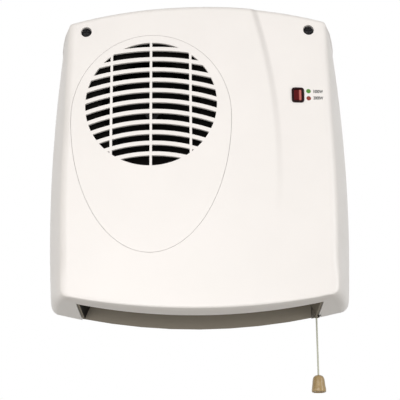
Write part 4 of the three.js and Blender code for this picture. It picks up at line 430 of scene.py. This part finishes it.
def shade_like(piece, skins, reach=2e-5, limit=0.85):
    """Faces that lie on a smooth skin take its normals, and the others stay flat."""
    mesh = piece.data
    for polygon in mesh.polygons:
        polygon.use_smooth = True
    normals = [Vector((0, 0, 1))] * len(mesh.loops)
    for polygon in mesh.polygons:
        own = polygon.normal
        for loop_index in polygon.loop_indices:
            point = mesh.vertices[mesh.loops[loop_index].vertex_index].co
            chosen = own
            for skin in skins:
                blended, flat = skin.normal_at(point, reach)
                if blended is not None and abs(blended.dot(own)) > limit:
                    chosen = blended if blended.dot(own) > 0 else -blended
                    break
            normals[loop_index] = chosen
    mesh.normals_split_custom_set(normals)


# ------------------------------------------------------------------ materials


def srgb(red, green, blue):
    values = []
    for value in (red, green, blue):
        share = value / 255
        values.append(share / 12.92 if share <= 0.04045 else ((share + 0.055) / 1.055) ** 2.4)
    return (*values, 1.0)


class Material:
    """A principled material with helpers that add procedural detail."""

    def __init__(self, name, color, roughness, metallic=0.0, **sockets):
        self.data = bpy.data.materials.new(name)
        self.data.use_nodes = True
        self.data.diffuse_color = color
        self.tree = self.data.node_tree
        self.shader = self.tree.nodes["Principled BSDF"]
        self.shader.inputs["Base Color"].default_value = color
        self.shader.inputs["Roughness"].default_value = roughness
        self.shader.inputs["Metallic"].default_value = metallic
        for socket, value in sockets.items():
            self.shader.inputs[socket.replace("_", " ")].default_value = value
        self.color = color
        self.place = self.tree.nodes.new("ShaderNodeTexCoord").outputs["Object"]

    def link(self, output, entry):
        self.tree.links.new(output, entry)

    def noise(self, scale, detail=4.0, roughness=0.5, stretch=None):
        source = self.place
        if stretch:
            mapping = self.tree.nodes.new("ShaderNodeMapping")
            mapping.inputs["Scale"].default_value = stretch
            self.link(source, mapping.inputs["Vector"])
            source = mapping.outputs["Vector"]
        node = self.tree.nodes.new("ShaderNodeTexNoise")
        node.inputs["Scale"].default_value = scale
        node.inputs["Detail"].default_value = detail
        node.inputs["Roughness"].default_value = roughness
        self.link(source, node.inputs["Vector"])
        return node.outputs["Fac"]

    def spread(self, value, low, high, from_low=0.3, from_high=0.7):
        node = self.tree.nodes.new("ShaderNodeMapRange")
        node.inputs["From Min"].default_value = from_low
        node.inputs["From Max"].default_value = from_high
        node.inputs["To Min"].default_value = low
        node.inputs["To Max"].default_value = high
        self.link(value, node.inputs["Value"])
        return node.outputs["Result"]

    def feed(self, value, entry):
        """Gives an input either a fixed value or another node's output."""
        if isinstance(value, bpy.types.NodeSocket):
            self.link(value, entry)
        else:
            entry.default_value = value

    def compute(self, operation, first, second=0.0):
        node = self.tree.nodes.new("ShaderNodeMath")
        node.operation = operation
        self.feed(first, node.inputs[0])
        self.feed(second, node.inputs[1])
        return node.outputs["Value"]

    def axes(self, vector=None):
        node = self.tree.nodes.new("ShaderNodeSeparateXYZ")
        self.link(vector or self.place, node.inputs["Vector"])
        return node.outputs

    def bands(self, scale, direction="X", distortion=0.0, source=None):
        wave = self.tree.nodes.new("ShaderNodeTexWave")
        wave.bands_direction = direction
        wave.inputs["Scale"].default_value = scale
        wave.inputs["Distortion"].default_value = distortion
        self.link(source or self.place, wave.inputs["Vector"])
        return wave.outputs["Fac"]

    def darken(self, base, shade, factor=1.0):
        """Multiplies the base colour by a shade, as strongly as factor says."""
        mix = self.tree.nodes.new("ShaderNodeMix")
        mix.data_type, mix.blend_type = "RGBA", "MULTIPLY"
        self.feed(factor, mix.inputs["Factor"])
        self.feed(base, mix.inputs[6])
        self.feed(shade, mix.inputs[7])
        self.link(mix.outputs[2], self.shader.inputs["Base Color"])

    def tint(self, value, darker, lighter, start=0.3, end=0.7):
        """Varies the base colour between two tones while a value goes from start to end."""
        ramp = self.tree.nodes.new("ShaderNodeValToRGB")
        stops = ramp.color_ramp.elements
        stops[0].position, stops[0].color = start, darker
        stops[1].position, stops[1].color = end, lighter
        self.link(value, ramp.inputs["Fac"])
        self.link(ramp.outputs["Color"], self.shader.inputs["Base Color"])
        return ramp.outputs["Color"]

    def mottle(self, scale=30.0, amount=0.03):
        darker = tuple(max(c * (1 - amount), 0.0) for c in self.color[:3]) + (1.0,)
        lighter = tuple(min(c * (1 + amount), 1.0) for c in self.color[:3]) + (1.0,)
        return self.tint(self.noise(scale), darker, lighter)

    def vary_roughness(self, low, high, scale=60.0, stretch=None):
        value = self.noise(scale, stretch=stretch)
        self.link(self.spread(value, low, high), self.shader.inputs["Roughness"])

    def bump(self, value, strength, distance):
        node = self.tree.nodes.new("ShaderNodeBump")
        node.inputs["Strength"].default_value = strength
        node.inputs["Distance"].default_value = distance
        self.link(value, node.inputs["Height"])
        self.link(node.outputs["Normal"], self.shader.inputs["Normal"])

    def dull(self, level):
        self.shader.inputs["Specular IOR Level"].default_value = level

    def soften_edges(self, radius):
        """Rounds the look of sharp moulded edges under the surface bump."""
        node = self.tree.nodes.new("ShaderNodeBevel")
        node.samples = 6
        node.inputs["Radius"].default_value = radius
        target = self.shader.inputs["Normal"]
        if target.is_linked:
            target = target.links[0].from_node.inputs["Normal"]
        self.link(node.outputs["Normal"], target)


GRAIN_SCALE, GRAIN_STRENGTH, GRAIN_DEPTH = 900.0, 0.35, 0.000012
ROUGHNESS_SPAN, EDGE_RADIUS = 0.05, 0.0004
MOTTLE_SCALE, MOTTLE_AMOUNT = 22.0, 0.012


def mould_surface(made, roughness, edge=EDGE_RADIUS, grain_depth=GRAIN_DEPTH):
    """Spark-eroded grain, uneven gloss and softened edges."""
    made.vary_roughness(roughness - ROUGHNESS_SPAN, roughness + ROUGHNESS_SPAN, scale=45.0)
    made.bump(made.noise(GRAIN_SCALE, detail=2.0), GRAIN_STRENGTH, grain_depth)
    made.soften_edges(edge)


def moulded(name, color, roughness, grain_depth=GRAIN_DEPTH, edge=EDGE_RADIUS, shine=0.5):
    """A moulded plastic of one colour with faint mottling."""
    made = Material(name, color, roughness)
    made.dull(shine)
    made.mottle(MOTTLE_SCALE, MOTTLE_AMOUNT)
    mould_surface(made, roughness, edge, grain_depth)
    return made.data


# Painted shade on the nozzle's cheeks: how far a face turns towards +X, then how much of its
# colour is left.
CHEEK_SHADE_STOPS = [(0.3, 0.75), (0.4, 1.0), (0.62, 1.0), (0.7, 0.03)]


def nozzle_plastic():
    """Warm grey moulding with painted shade: faces turned to +X, on the left cheek, are darkened
    nearly to black, and faces turned to -X, on the right cheek, a quarter darker.
    """
    made = Material("nozzle_grey", srgb(150, 143, 131), 0.6)
    made.dull(0.1)
    base = made.mottle(MOTTLE_SCALE, 0.02)
    normal = made.tree.nodes.new("ShaderNodeTexCoord").outputs["Normal"]
    facing = made.spread(made.axes(normal)["X"], 0, 1, -1, 1)
    shade = made.tree.nodes.new("ShaderNodeValToRGB")
    stops = shade.color_ramp.elements
    for k, (position, level) in enumerate(CHEEK_SHADE_STOPS):
        stop = stops[k] if k < 2 else stops.new(position)
        stop.position, stop.color = position, (level, level, level, 1)
    made.link(facing, shade.inputs["Fac"])
    # Painted shade: the cheeks are darkened by which way they face, not by any lamp.
    made.darken(base, shade.outputs["Color"])
    mould_surface(made, 0.6, edge=0.0006)
    return made.data


def casing_plastic():
    """Satin white moulding with shade painted along the crease of the face, strongest at its top.
    """
    made = Material("casing_white", srgb(241, 238, 236), 0.36)
    base = made.mottle(MOTTLE_SCALE, MOTTLE_AMOUNT)
    place = made.axes()
    rise = made.compute("SUBTRACT", place["Z"], CREASE_Z * MM)
    sag = made.compute("MULTIPLY", made.compute("POWER", rise, 2.0), 0.5 / (CREASE_RADIUS * MM))
    from_crease = made.compute("ADD", made.compute("ADD", place["X"], sag), -CREASE_X * MM)
    across = made.compute("ABSOLUTE", from_crease)
    crease_shade_mask = made.spread(across, 1, 0, 0.15 * CREASE_BAND * MM, 0.65 * CREASE_BAND * MM)
    along = made.spread(place["Z"], 0, CREASE_SHADE, CREASE_FADE_Z * MM, HALF_HEIGHT * MM)
    # Painted shade: the band along the crease is darkened towards this grey.
    made.darken(base, srgb(120, 114, 112), made.compute("MULTIPLY", crease_shade_mask, along))
    mould_surface(made, 0.36)
    return made.data


def rolled_steel(name, color, roughness, stretch=(1, 14, 1)):
    """Zinc-plated or ground steel with fine drawn streaks."""
    made = Material(name, color, roughness, metallic=1.0)
    streaks = made.noise(260.0, detail=3.0, stretch=stretch)
    made.tint(streaks, tuple(c * 0.86 for c in color[:3]) + (1.0,), color)
    gloss = made.spread(streaks, roughness - 0.08, roughness + 0.1)
    made.link(gloss, made.shader.inputs["Roughness"])
    made.bump(streaks, 0.25, 0.00002)
    return made.data


def assign(material, *pieces):
    for piece in pieces:
        piece.data.materials.clear()
        piece.data.materials.append(material)


white = casing_plastic()
nozzle_grey = nozzle_plastic()
housing_grey = moulded("housing_grey", srgb(112, 106, 97), 0.58, shine=0.2)
guard_black = moulded("guard_black", srgb(24, 22, 20), 0.55, shine=0.2)
blower_black = moulded("blower_black", srgb(9, 8, 7), 0.7, shine=0.05)
impeller_black = moulded("impeller_black", srgb(9, 9, 9), 0.7, shine=0.05)
frame_black = moulded("frame_black", srgb(24, 22, 20), 0.65, shine=0.2)
switch_black = moulded("switch_black", srgb(38, 38, 40), 0.5)
natural_nylon = moulded("natural_nylon", srgb(226, 221, 205), 0.45)
bezel_black = moulded("bezel_black", srgb(30, 3, 4), 0.35, edge=0.0006, shine=0.15)
rubber = moulded("grommet_rubber", srgb(22, 22, 22), 0.85, grain_depth=0.00003)
steel = rolled_steel("plated_steel", srgb(176, 178, 181), 0.34)
ground_steel = rolled_steel("ground_steel", srgb(96, 96, 98), 0.45, stretch=(1, 1, 1))


def laminations():
    """Stacked thin sheets, seen as fine dark lines across the stack's edges."""
    made = Material("lamination_steel", srgb(138, 141, 146), 0.48, metallic=1.0)
    sheets = made.bands(320.0, "Y", distortion=0.4)
    made.tint(sheets, srgb(70, 72, 76), srgb(148, 151, 156))
    made.bump(sheets, 0.5, 0.00006)
    return made.data


def winding():
    """Enamelled copper wire laid side by side."""
    made = Material("copper_winding", srgb(184, 104, 56), 0.3, metallic=0.9)
    turns = made.bands(420.0)
    made.tint(turns, srgb(108, 48, 22), srgb(206, 122, 70))
    made.bump(turns, 0.8, 0.00012)
    return made.data


def brass():
    made = Material("contact_brass", srgb(198, 164, 88), 0.3, metallic=1.0)
    made.tint(made.noise(180.0), srgb(170, 134, 62), srgb(208, 176, 100))
    made.vary_roughness(0.24, 0.4, scale=150.0)
    return made.data


def bronze():
    """Porous sintered bronze, oiled."""
    made = Material("sintered_bronze", srgb(150, 116, 62), 0.5, metallic=1.0)
    pores = made.noise(2400.0, detail=2.0)
    made.tint(pores, srgb(92, 66, 32), srgb(160, 126, 70))
    made.bump(pores, 0.6, 0.00003)
    return made.data


def cast_cage():
    """The rotor: die-cast aluminium rings on a stack of steel sheets."""
    made = Material("cast_cage", srgb(168, 170, 173), 0.5, metallic=1.0)
    made.tint(made.noise(300.0), srgb(140, 142, 146), srgb(182, 184, 187))
    made.bump(made.noise(900.0), 0.4, 0.00002)
    return made.data


def folded_aluminium():
    made = Material("folded_aluminium", srgb(205, 207, 210), 0.3, metallic=1.0)
    made.tint(made.noise(120.0, stretch=(1, 1, 8)), srgb(180, 182, 186), srgb(214, 216, 219))
    made.vary_roughness(0.24, 0.42, scale=90.0)
    return made.data


def screw_black():
    """Blackened steel, a little rubbed on its high spots."""
    made = Material("screw_black", srgb(16, 16, 18), 0.5)
    made.dull(0.2)
    made.tint(made.noise(700.0), srgb(9, 9, 11), srgb(26, 26, 30))
    made.vary_roughness(0.34, 0.55, scale=500.0)
    made.bump(made.noise(1500.0), 0.4, 0.00002)
    return made.data


def braided_cord():
    """Off-white braid: two crossing sets of strands along the cord."""
    made = Material("braided_cord", srgb(214, 216, 202), 0.75)
    fields = []
    for turn in (45, -45):
        mapping = made.tree.nodes.new("ShaderNodeMapping")
        mapping.inputs["Rotation"].default_value = (0, math.radians(turn), math.radians(turn))
        made.link(made.place, mapping.inputs["Vector"])
        fields.append(made.bands(520.0, source=mapping.outputs["Vector"]))
    crossing = made.compute("MULTIPLY", *fields)
    made.tint(crossing, srgb(168, 170, 152), srgb(222, 224, 211), 0.0, 0.45)
    made.bump(crossing, 0.6, 0.0001)
    return made.data


def tan_pull():
    """Polished tan plastic with a warm, slightly cloudy body."""
    made = Material("pull_tan", srgb(168, 142, 96), 0.25)
    made.tint(made.noise(160.0), srgb(150, 124, 80), srgb(178, 154, 112))
    made.bump(made.noise(700.0), 0.15, 0.00002)
    return made.data


def red_lens():
    """Deep red tinted lens with a pale upright painted highlight right of its middle."""
    made = Material("lens_red", srgb(104, 10, 13), 0.25)
    made.dull(0.15)
    across = made.compute("SUBTRACT", made.axes()["X"], (INDICATOR_X + GLEAM_OFFSET) * MM)
    painted_highlight = made.spread(made.compute("ABSOLUTE", across), 1, 0, 0.0002, 0.0013)
    # Painted highlight: a pale upright streak at a fixed place on the lens, not made by any lamp.
    made.tint(painted_highlight, srgb(84, 4, 7), srgb(200, 118, 110), 0.0, 1.0)
    return made.data


def lamp_glass():
    made = Material("lamp_glass", srgb(236, 214, 186), 0.06, Transmission_Weight=0.7, IOR=1.47)
    made.tint(made.noise(400.0), srgb(224, 190, 150), srgb(240, 224, 205))
    return made.data


def ink(name, color):
    """Pad-printed ink, a little uneven in density."""
    made = Material(name, color, 0.5)
    made.mottle(scale=900.0, amount=0.15)
    return made.data


lamination_steel = laminations()
copper = winding()
contact_brass = brass()
bush_bronze = bronze()
rotor_metal = cast_cage()
aluminium = folded_aluminium()
blackened = screw_black()
cord_braid = braided_cord()
pull_tan = tan_pull()
lens_material = red_lens()
glass = lamp_glass()

NODE_MATERIALS = {
    white: ["front_cover", "intake_grille"],
    blackened: ["cover_screw_left", "cover_screw_right", "impeller_clip"],
    housing_grey: ["rear_housing"],
    nozzle_grey: ["outlet_nozzle", "cord_bush"],
    guard_black: ["outlet_guard"],
    blower_black: ["scroll_housing", "inlet_plate"],
    impeller_black: ["impeller"],
    steel: [
        "scroll_screw_1", "scroll_screw_2", "scroll_screw_3", "scroll_screw_4",
        "motor_bracket_front", "motor_bracket_rear",
        "motor_screw_left", "motor_screw_right", "thermal_cutout", "thermal_fuse",
        "clamp_screw_left", "clamp_screw_right",
    ],
    ground_steel: ["motor_shaft"],
    rotor_metal: ["motor_rotor"],
    lamination_steel: ["motor_stator"],
    copper: ["shading_ring_lower", "shading_ring_upper", "motor_coil"],
    bush_bronze: ["motor_bush_front", "motor_bush_rear"],
    frame_black: ["heater_frame"],
    aluminium: ["ptc_bar_1", "ptc_bar_2", "heater_fins_1", "heater_fins_2", "heater_fins_3"],
    contact_brass: [
        "terminal_screw_1", "terminal_screw_2", "terminal_screw_3",
        "switch_tab_1", "switch_tab_2", "switch_tab_3",
    ],
    rubber: ["cable_grommet"],
    switch_black: ["pull_switch_body"],
    natural_nylon: [
        "coil_bobbin", "terminal_block", "cable_clamp", "pull_switch_lever",
    ],
    cord_braid: ["switch_cord", "pull_cord"],
    pull_tan: ["cord_pull"],
    bezel_black: ["indicator_bezel"],
    lens_material: ["indicator_lens"],
    glass: ["indicator_lamp"],
}
for material, names in NODE_MATERIALS.items():
    assign(material, *(nodes[name] for name in names))

# ------------------------------------------------------------------ cord and pull


def add_cord(pull):
    data = bpy.data.curves.new("hanging_strand", "CURVE")
    data.dimensions = "3D"
    data.bevel_depth = CORD_RADIUS * MM
    data.bevel_resolution = 4
    data.use_fill_caps = True
    spline = data.splines.new("POLY")
    spline.points.add(CORD_POINTS - 1)
    for i, point in enumerate(spline.points):
        drop = i / (CORD_POINTS - 1)
        z = CORD_TOP_Z + (CORD_LOW_Z - CORD_TOP_Z) * drop
        point.co = (CORD_X * MM, CORD_Y * MM, z * MM, 1)
    strand = bpy.data.objects.new("hanging_strand", data)
    scene.collection.objects.link(strand)
    strand.data.materials.append(cord_braid)
    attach(strand, "hanging_cord")
    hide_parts("pull_cord")


def turned(name, profile, sides=48):
    """A body of revolution about the cord's line from [radius, height] pairs."""
    vertices = []
    for radius, height in profile:
        for i in range(sides):
            turn = 2 * math.pi * i / sides
            x, y = CORD_X + radius * math.cos(turn), CORD_Y + radius * math.sin(turn)
            vertices.append((x, y, height))
    faces = []
    rings = len(profile)
    for k in range(rings):
        for i in range(sides):
            j = (i + 1) % sides
            a, b = k * sides, ((k + 1) % rings) * sides
            faces.append((a + i, a + j, b + j, b + i))
    return add_mesh(name, vertices, faces)


def add_pull():
    """The pull, from pairs of a radius and a share of its height, down from its top."""
    shares = [
        (1.05, 0.5), (1.05, 0), (1.7, 0), (2.3, 0.012), (3.1, 0.035), (3.78, 0.07),
        (4.35, 0.12), (4.71, 0.18), (5.0, 0.25), (5.2, 0.34), (5.37, 0.45), (5.58, 0.58),
        (5.84, 0.69), (6.07, 0.79), (6.18, 0.86), (6.2, 0.91), (6.1, 0.96), (5.88, 0.995),
        (5.7, 1.0), (4.75, 1.0), (4.54, 0.985), (4.4, 0.95), (4.16, 0.56),
    ]
    profile = [(radius, ACORN_TOP_Z - share * ACORN_HEIGHT) for radius, share in shares]
    pull = turned("tan_pull", profile)
    for polygon in pull.data.polygons:
        polygon.use_smooth = True
    assign(pull_tan, pull)
    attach(pull, "hanging_cord")
    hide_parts("cord_pull")
    return pull


add_cord(add_pull())

# ------------------------------------------------------------------ cover and grille


def front_cover(blank, inner):
    cover = copy_of(blank, "moulded_cover")
    combine(cover, copy_of(inner, "cover_inside"), "DIFFERENCE")
    for side in (-1, 1):
        x = side * SCREW_X
        boss_end_y = COUNTERBORE_FLOOR_Y + BOSS_FLOOR
        boss = prism("boss", circle(x, SCREW_Z, BOSS_RADIUS), boss_end_y, BEYOND_Y)
        combine(boss, copy_of(blank, "boss_limit"), "INTERSECT")
        combine(cover, boss, "UNION")
    for side in (-1, 1):
        x = side * SCREW_X
        wide = circle(x, SCREW_Z, COUNTERBORE_RADIUS)
        bore = prism("bore", wide, COUNTERBORE_FLOOR_Y, BEYOND_Y - 1)
        combine(cover, bore, "DIFFERENCE")
        hole = prism("hole", circle(x, SCREW_Z, SCREW_HOLE_RADIUS, 32), BEHIND_Y, BEYOND_Y)
        combine(cover, hole, "DIFFERENCE")
    combine(cover, prism("egg", egg(PARTING_GAP - VISIBLE_GAP), BEHIND_Y, BEYOND_Y), "DIFFERENCE")
    combine(cover, box(
        "window", INDICATOR_X - WINDOW_HALF_WIDTH, INDICATOR_X + WINDOW_HALF_WIDTH,
        BEYOND_Y, BEHIND_Y,
        INDICATOR_Z - WINDOW_HALF_HEIGHT, INDICATOR_Z + WINDOW_HALF_HEIGHT,
    ), "DIFFERENCE")
    combine(cover, box(
        "mouth", -MOUTH_HALF_WIDTH, MOUTH_HALF_WIDTH, MOUTH_FRONT_Y, 10,
        -HALF_HEIGHT - 12, -HALF_HEIGHT + MOUTH_RISE,
    ), "DIFFERENCE")
    combine(cover, box(
        "cord_notch", CORD_X - CORD_BOSS_HALF, CORD_X + CORD_BOSS_HALF,
        CORD_Y - CORD_BOSS_HALF, 5, -HALF_HEIGHT - 5, CORD_BOSS_TOP_Z,
    ), "DIFFERENCE")
    return cover


def arc_bar(index):
    centre_z = FAN_Z - BAR_ARC_CENTRE_DROP
    inner = FAN_Z + TOP_BAR_RISE - index * BAR_PITCH - centre_z
    outer = inner + BAR_HEIGHT
    half = math.asin((GRILLE_RADIUS + 2) / inner)
    turns = [math.pi / 2 + half * (2 * i / BAR_STEPS - 1) for i in range(BAR_STEPS + 1)]
    outline = [
        (FAN_X + radius * math.cos(turn), centre_z + radius * math.sin(turn))
        for radius, order in ((inner, reversed(turns)), (outer, turns))
        for turn in order
    ]
    return prism(f"bar_{index}", outline, BEHIND_Y + 1, BEYOND_Y - 1)


def intake_grille(blank, inner):
    grille = prism("moulded_grille", egg(PARTING_GAP), BEHIND_Y, BEYOND_Y)
    combine(grille, copy_of(blank, "grille_outside"), "INTERSECT")
    combine(grille, copy_of(inner, "grille_inside"), "DIFFERENCE")
    slots = prism("slots", circle(FAN_X, FAN_Z, GRILLE_RADIUS, 128), BEHIND_Y, BEYOND_Y)
    for index in range(BAR_COUNT):
        combine(slots, arc_bar(index), "DIFFERENCE")
    for rib in range(RIB_COUNT):
        x = FAN_X + (rib - (RIB_COUNT - 1) / 2) * RIB_PITCH
        combine(slots, box(
            "rib", x - RIB_WIDTH / 2, x + RIB_WIDTH / 2, BEYOND_Y - 1, BEHIND_Y + 1,
            FAN_Z - GRILLE_RADIUS - 1, FAN_Z + GRILLE_RADIUS + 1,
        ), "DIFFERENCE")
    combine(grille, slots, "DIFFERENCE")
    return grille


def add_casing():
    outer = cover_blank("cover_outside_blank", 0, -WALL_SHADOW_GAP, OUTER_STEPS)
    inner = cover_blank("cover_inside_blank", COVER_WALL, INNER_REAR_Y, INNER_STEPS)
    skins = [SmoothSkin(outer), SmoothSkin(inner)]
    cover = front_cover(outer, inner)
    grille = intake_grille(outer, inner)
    shown = [
        (cover, "front_cover", "casing_white"),
        (grille, "intake_grille", "grille_white"),
    ]
    for piece, node, slot in shown:
        shade_like(piece, skins)
        assign(white, piece)
        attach(piece, "housing")
        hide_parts(node)
    bpy.data.objects.remove(outer)
    bpy.data.objects.remove(inner)


add_casing()

# ------------------------------------------------------------------ printed marks

PRINT_RISE, PRINT_DEPTH = 0.03, 0.1
DOT_RADIUS = 2.0
DOTS = [
    ("dot_green", 94.5, 55.9, srgb(76, 132, 40)),
    ("dot_red", 94.5, 49.3, srgb(132, 44, 30)),
]
LEGENDS = [("legend_upper", "1000W", 55.8), ("legend_lower", "2000W", 49.8)]
LEGEND_LEFT, LEGEND_WIDTH, LEGEND_HEIGHT = 98.6, 8.4, 3.0


def on_face(x, z, proud):
    """A frame of axes on the cover's face: right, up and out."""
    out = face_normal(x, z)
    right = Vector((0, 0, 1)).cross(-out).normalized()
    right = right if right.x > 0 else -right
    up = out.cross(right).normalized()
    up = up if up.z > 0 else -up
    point = Vector((x, face_y(x, z), z)) + out * proud
    return point, right, up, out


def add_dot(name, x, z, color, sides=32):
    point, right, up, out = on_face(x, z, PRINT_RISE)
    rings = [(DOT_RADIUS, -PRINT_DEPTH), (DOT_RADIUS, -0.01), (DOT_RADIUS * 0.96, 0.0)]
    vertices = []
    for radius, rise in rings:
        for i in range(sides):
            turn = 2 * math.pi * i / sides
            offset = right * radius * math.cos(turn) + up * radius * math.sin(turn)
            vertices.append(tuple(point + offset + out * rise))
    faces = [tuple(range(sides - 1, -1, -1)), tuple(range(2 * sides, 3 * sides))]
    for k in (0, 1):
        for i in range(sides):
            j = (i + 1) % sides
            near, far = k * sides, (k + 1) * sides
            faces.append((near + i, near + j, far + j, far + i))
    dot = add_mesh(name, vertices, faces)
    assign(ink(name + "_ink", color), dot)
    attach(dot, "housing")


def add_legend(name, words, z):
    """Thin raised lettering, bent to the face."""
    data = bpy.data.curves.new(name, "FONT")
    data.body = words
    data.size = 1.0
    data.extrude = 0.02
    data.offset = 0.035
    text = bpy.data.objects.new(name, data)
    scene.collection.objects.link(text)
    with bpy.context.temp_override(object=text, active_object=text, selected_objects=[text]):
        text.select_set(True)
        bpy.context.view_layer.objects.active = text
        bpy.ops.object.convert(target="MESH")
    xs = [v.co.x for v in text.data.vertices]
    ys = [v.co.y for v in text.data.vertices]
    scale_x = LEGEND_WIDTH / (max(xs) - min(xs))
    scale_y = LEGEND_HEIGHT / (max(ys) - min(ys))
    for vertex in text.data.vertices:
        x = LEGEND_LEFT + (vertex.co.x - min(xs)) * scale_x
        height = z + (vertex.co.y - (min(ys) + max(ys)) / 2) * scale_y
        proud = PRINT_RISE if vertex.co.z > 0 else -PRINT_DEPTH
        vertex.co = (Vector((x, face_y(x, height), height)) + face_normal(x, height) * proud) * MM
    text.data.materials.append(ink(name + "_ink", srgb(44, 52, 48)))
    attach(text, "housing")


for name, x, z, color in DOTS:
    add_dot(name, x, z, color)
for name, words, z in LEGENDS:
    add_legend(name, words, z)

# ------------------------------------------------------------------ floor, light and world


def pale_stage_material():
    made = Material("pale_stage", srgb(236, 236, 236), 0.9)
    made.mottle(scale=3.0, amount=0.01)
    return made.data


def add_floor():
    bpy.ops.mesh.primitive_plane_add(size=12, location=(0, 0, -1.6))
    floor = bpy.context.active_object
    floor.name = "floor"
    assign(pale_stage_material(), floor)


LIGHT_TARGET = (0, -0.04, 0)
AMBIENT_COLOR, AMBIENT_STRENGTH = (1.0, 0.94, 0.82, 1), 0.26
LIGHTS = [
    ("key", (-0.5, -2.2, -0.1), (1.6, 1.6), 33, (1.0, 0.985, 0.985)),
    ("left_strip", (-1.4, -0.75, -0.1), (0.25, 1.4), 1.5, (1.0, 0.95, 0.86)),
    ("right_strip", (1.5, -0.95, 0.0), (0.25, 1.4), 9.0, (1, 1, 1)),
]


def add_area(name, place, size, power, color):
    data = bpy.data.lights.new(name, "AREA")
    data.shape = "RECTANGLE"
    data.size, data.size_y = size
    data.energy = power
    data.color = color
    lamp = bpy.data.objects.new(name, data)
    lamp.location = place
    aim = Vector(LIGHT_TARGET) - Vector(place)
    lamp.rotation_euler = aim.to_track_quat("-Z", "Y").to_euler()
    scene.collection.objects.link(lamp)


def add_world():
    """White where it is seen, mirrored or looked at through glass, and warm and dim elsewhere."""
    world = bpy.data.worlds.new("studio")
    scene.world = world
    world.use_nodes = True
    tree = world.node_tree
    tree.nodes.clear()
    path = tree.nodes.new("ShaderNodeLightPath")
    seen = tree.nodes.new("ShaderNodeBackground")
    seen.inputs["Color"].default_value = (1, 1, 1, 1)
    ambient = tree.nodes.new("ShaderNodeBackground")
    ambient.inputs["Color"].default_value = AMBIENT_COLOR
    ambient.inputs["Strength"].default_value = AMBIENT_STRENGTH
    mix = tree.nodes.new("ShaderNodeMixShader")
    output = tree.nodes.new("ShaderNodeOutputWorld")
    direct = path.outputs["Is Camera Ray"]
    for kind in ("Is Glossy Ray", "Is Transmission Ray"):
        either = tree.nodes.new("ShaderNodeMath")
        either.operation = "MAXIMUM"
        tree.links.new(direct, either.inputs[0])
        tree.links.new(path.outputs[kind], either.inputs[1])
        direct = either.outputs["Value"]
    tree.links.new(direct, mix.inputs["Fac"])
    tree.links.new(ambient.outputs["Background"], mix.inputs[1])
    tree.links.new(seen.outputs["Background"], mix.inputs[2])
    tree.links.new(mix.outputs["Shader"], output.inputs["Surface"])


add_floor()
for light in LIGHTS:
    add_area(*light)
add_world()
scene.view_settings.view_transform = "Standard"
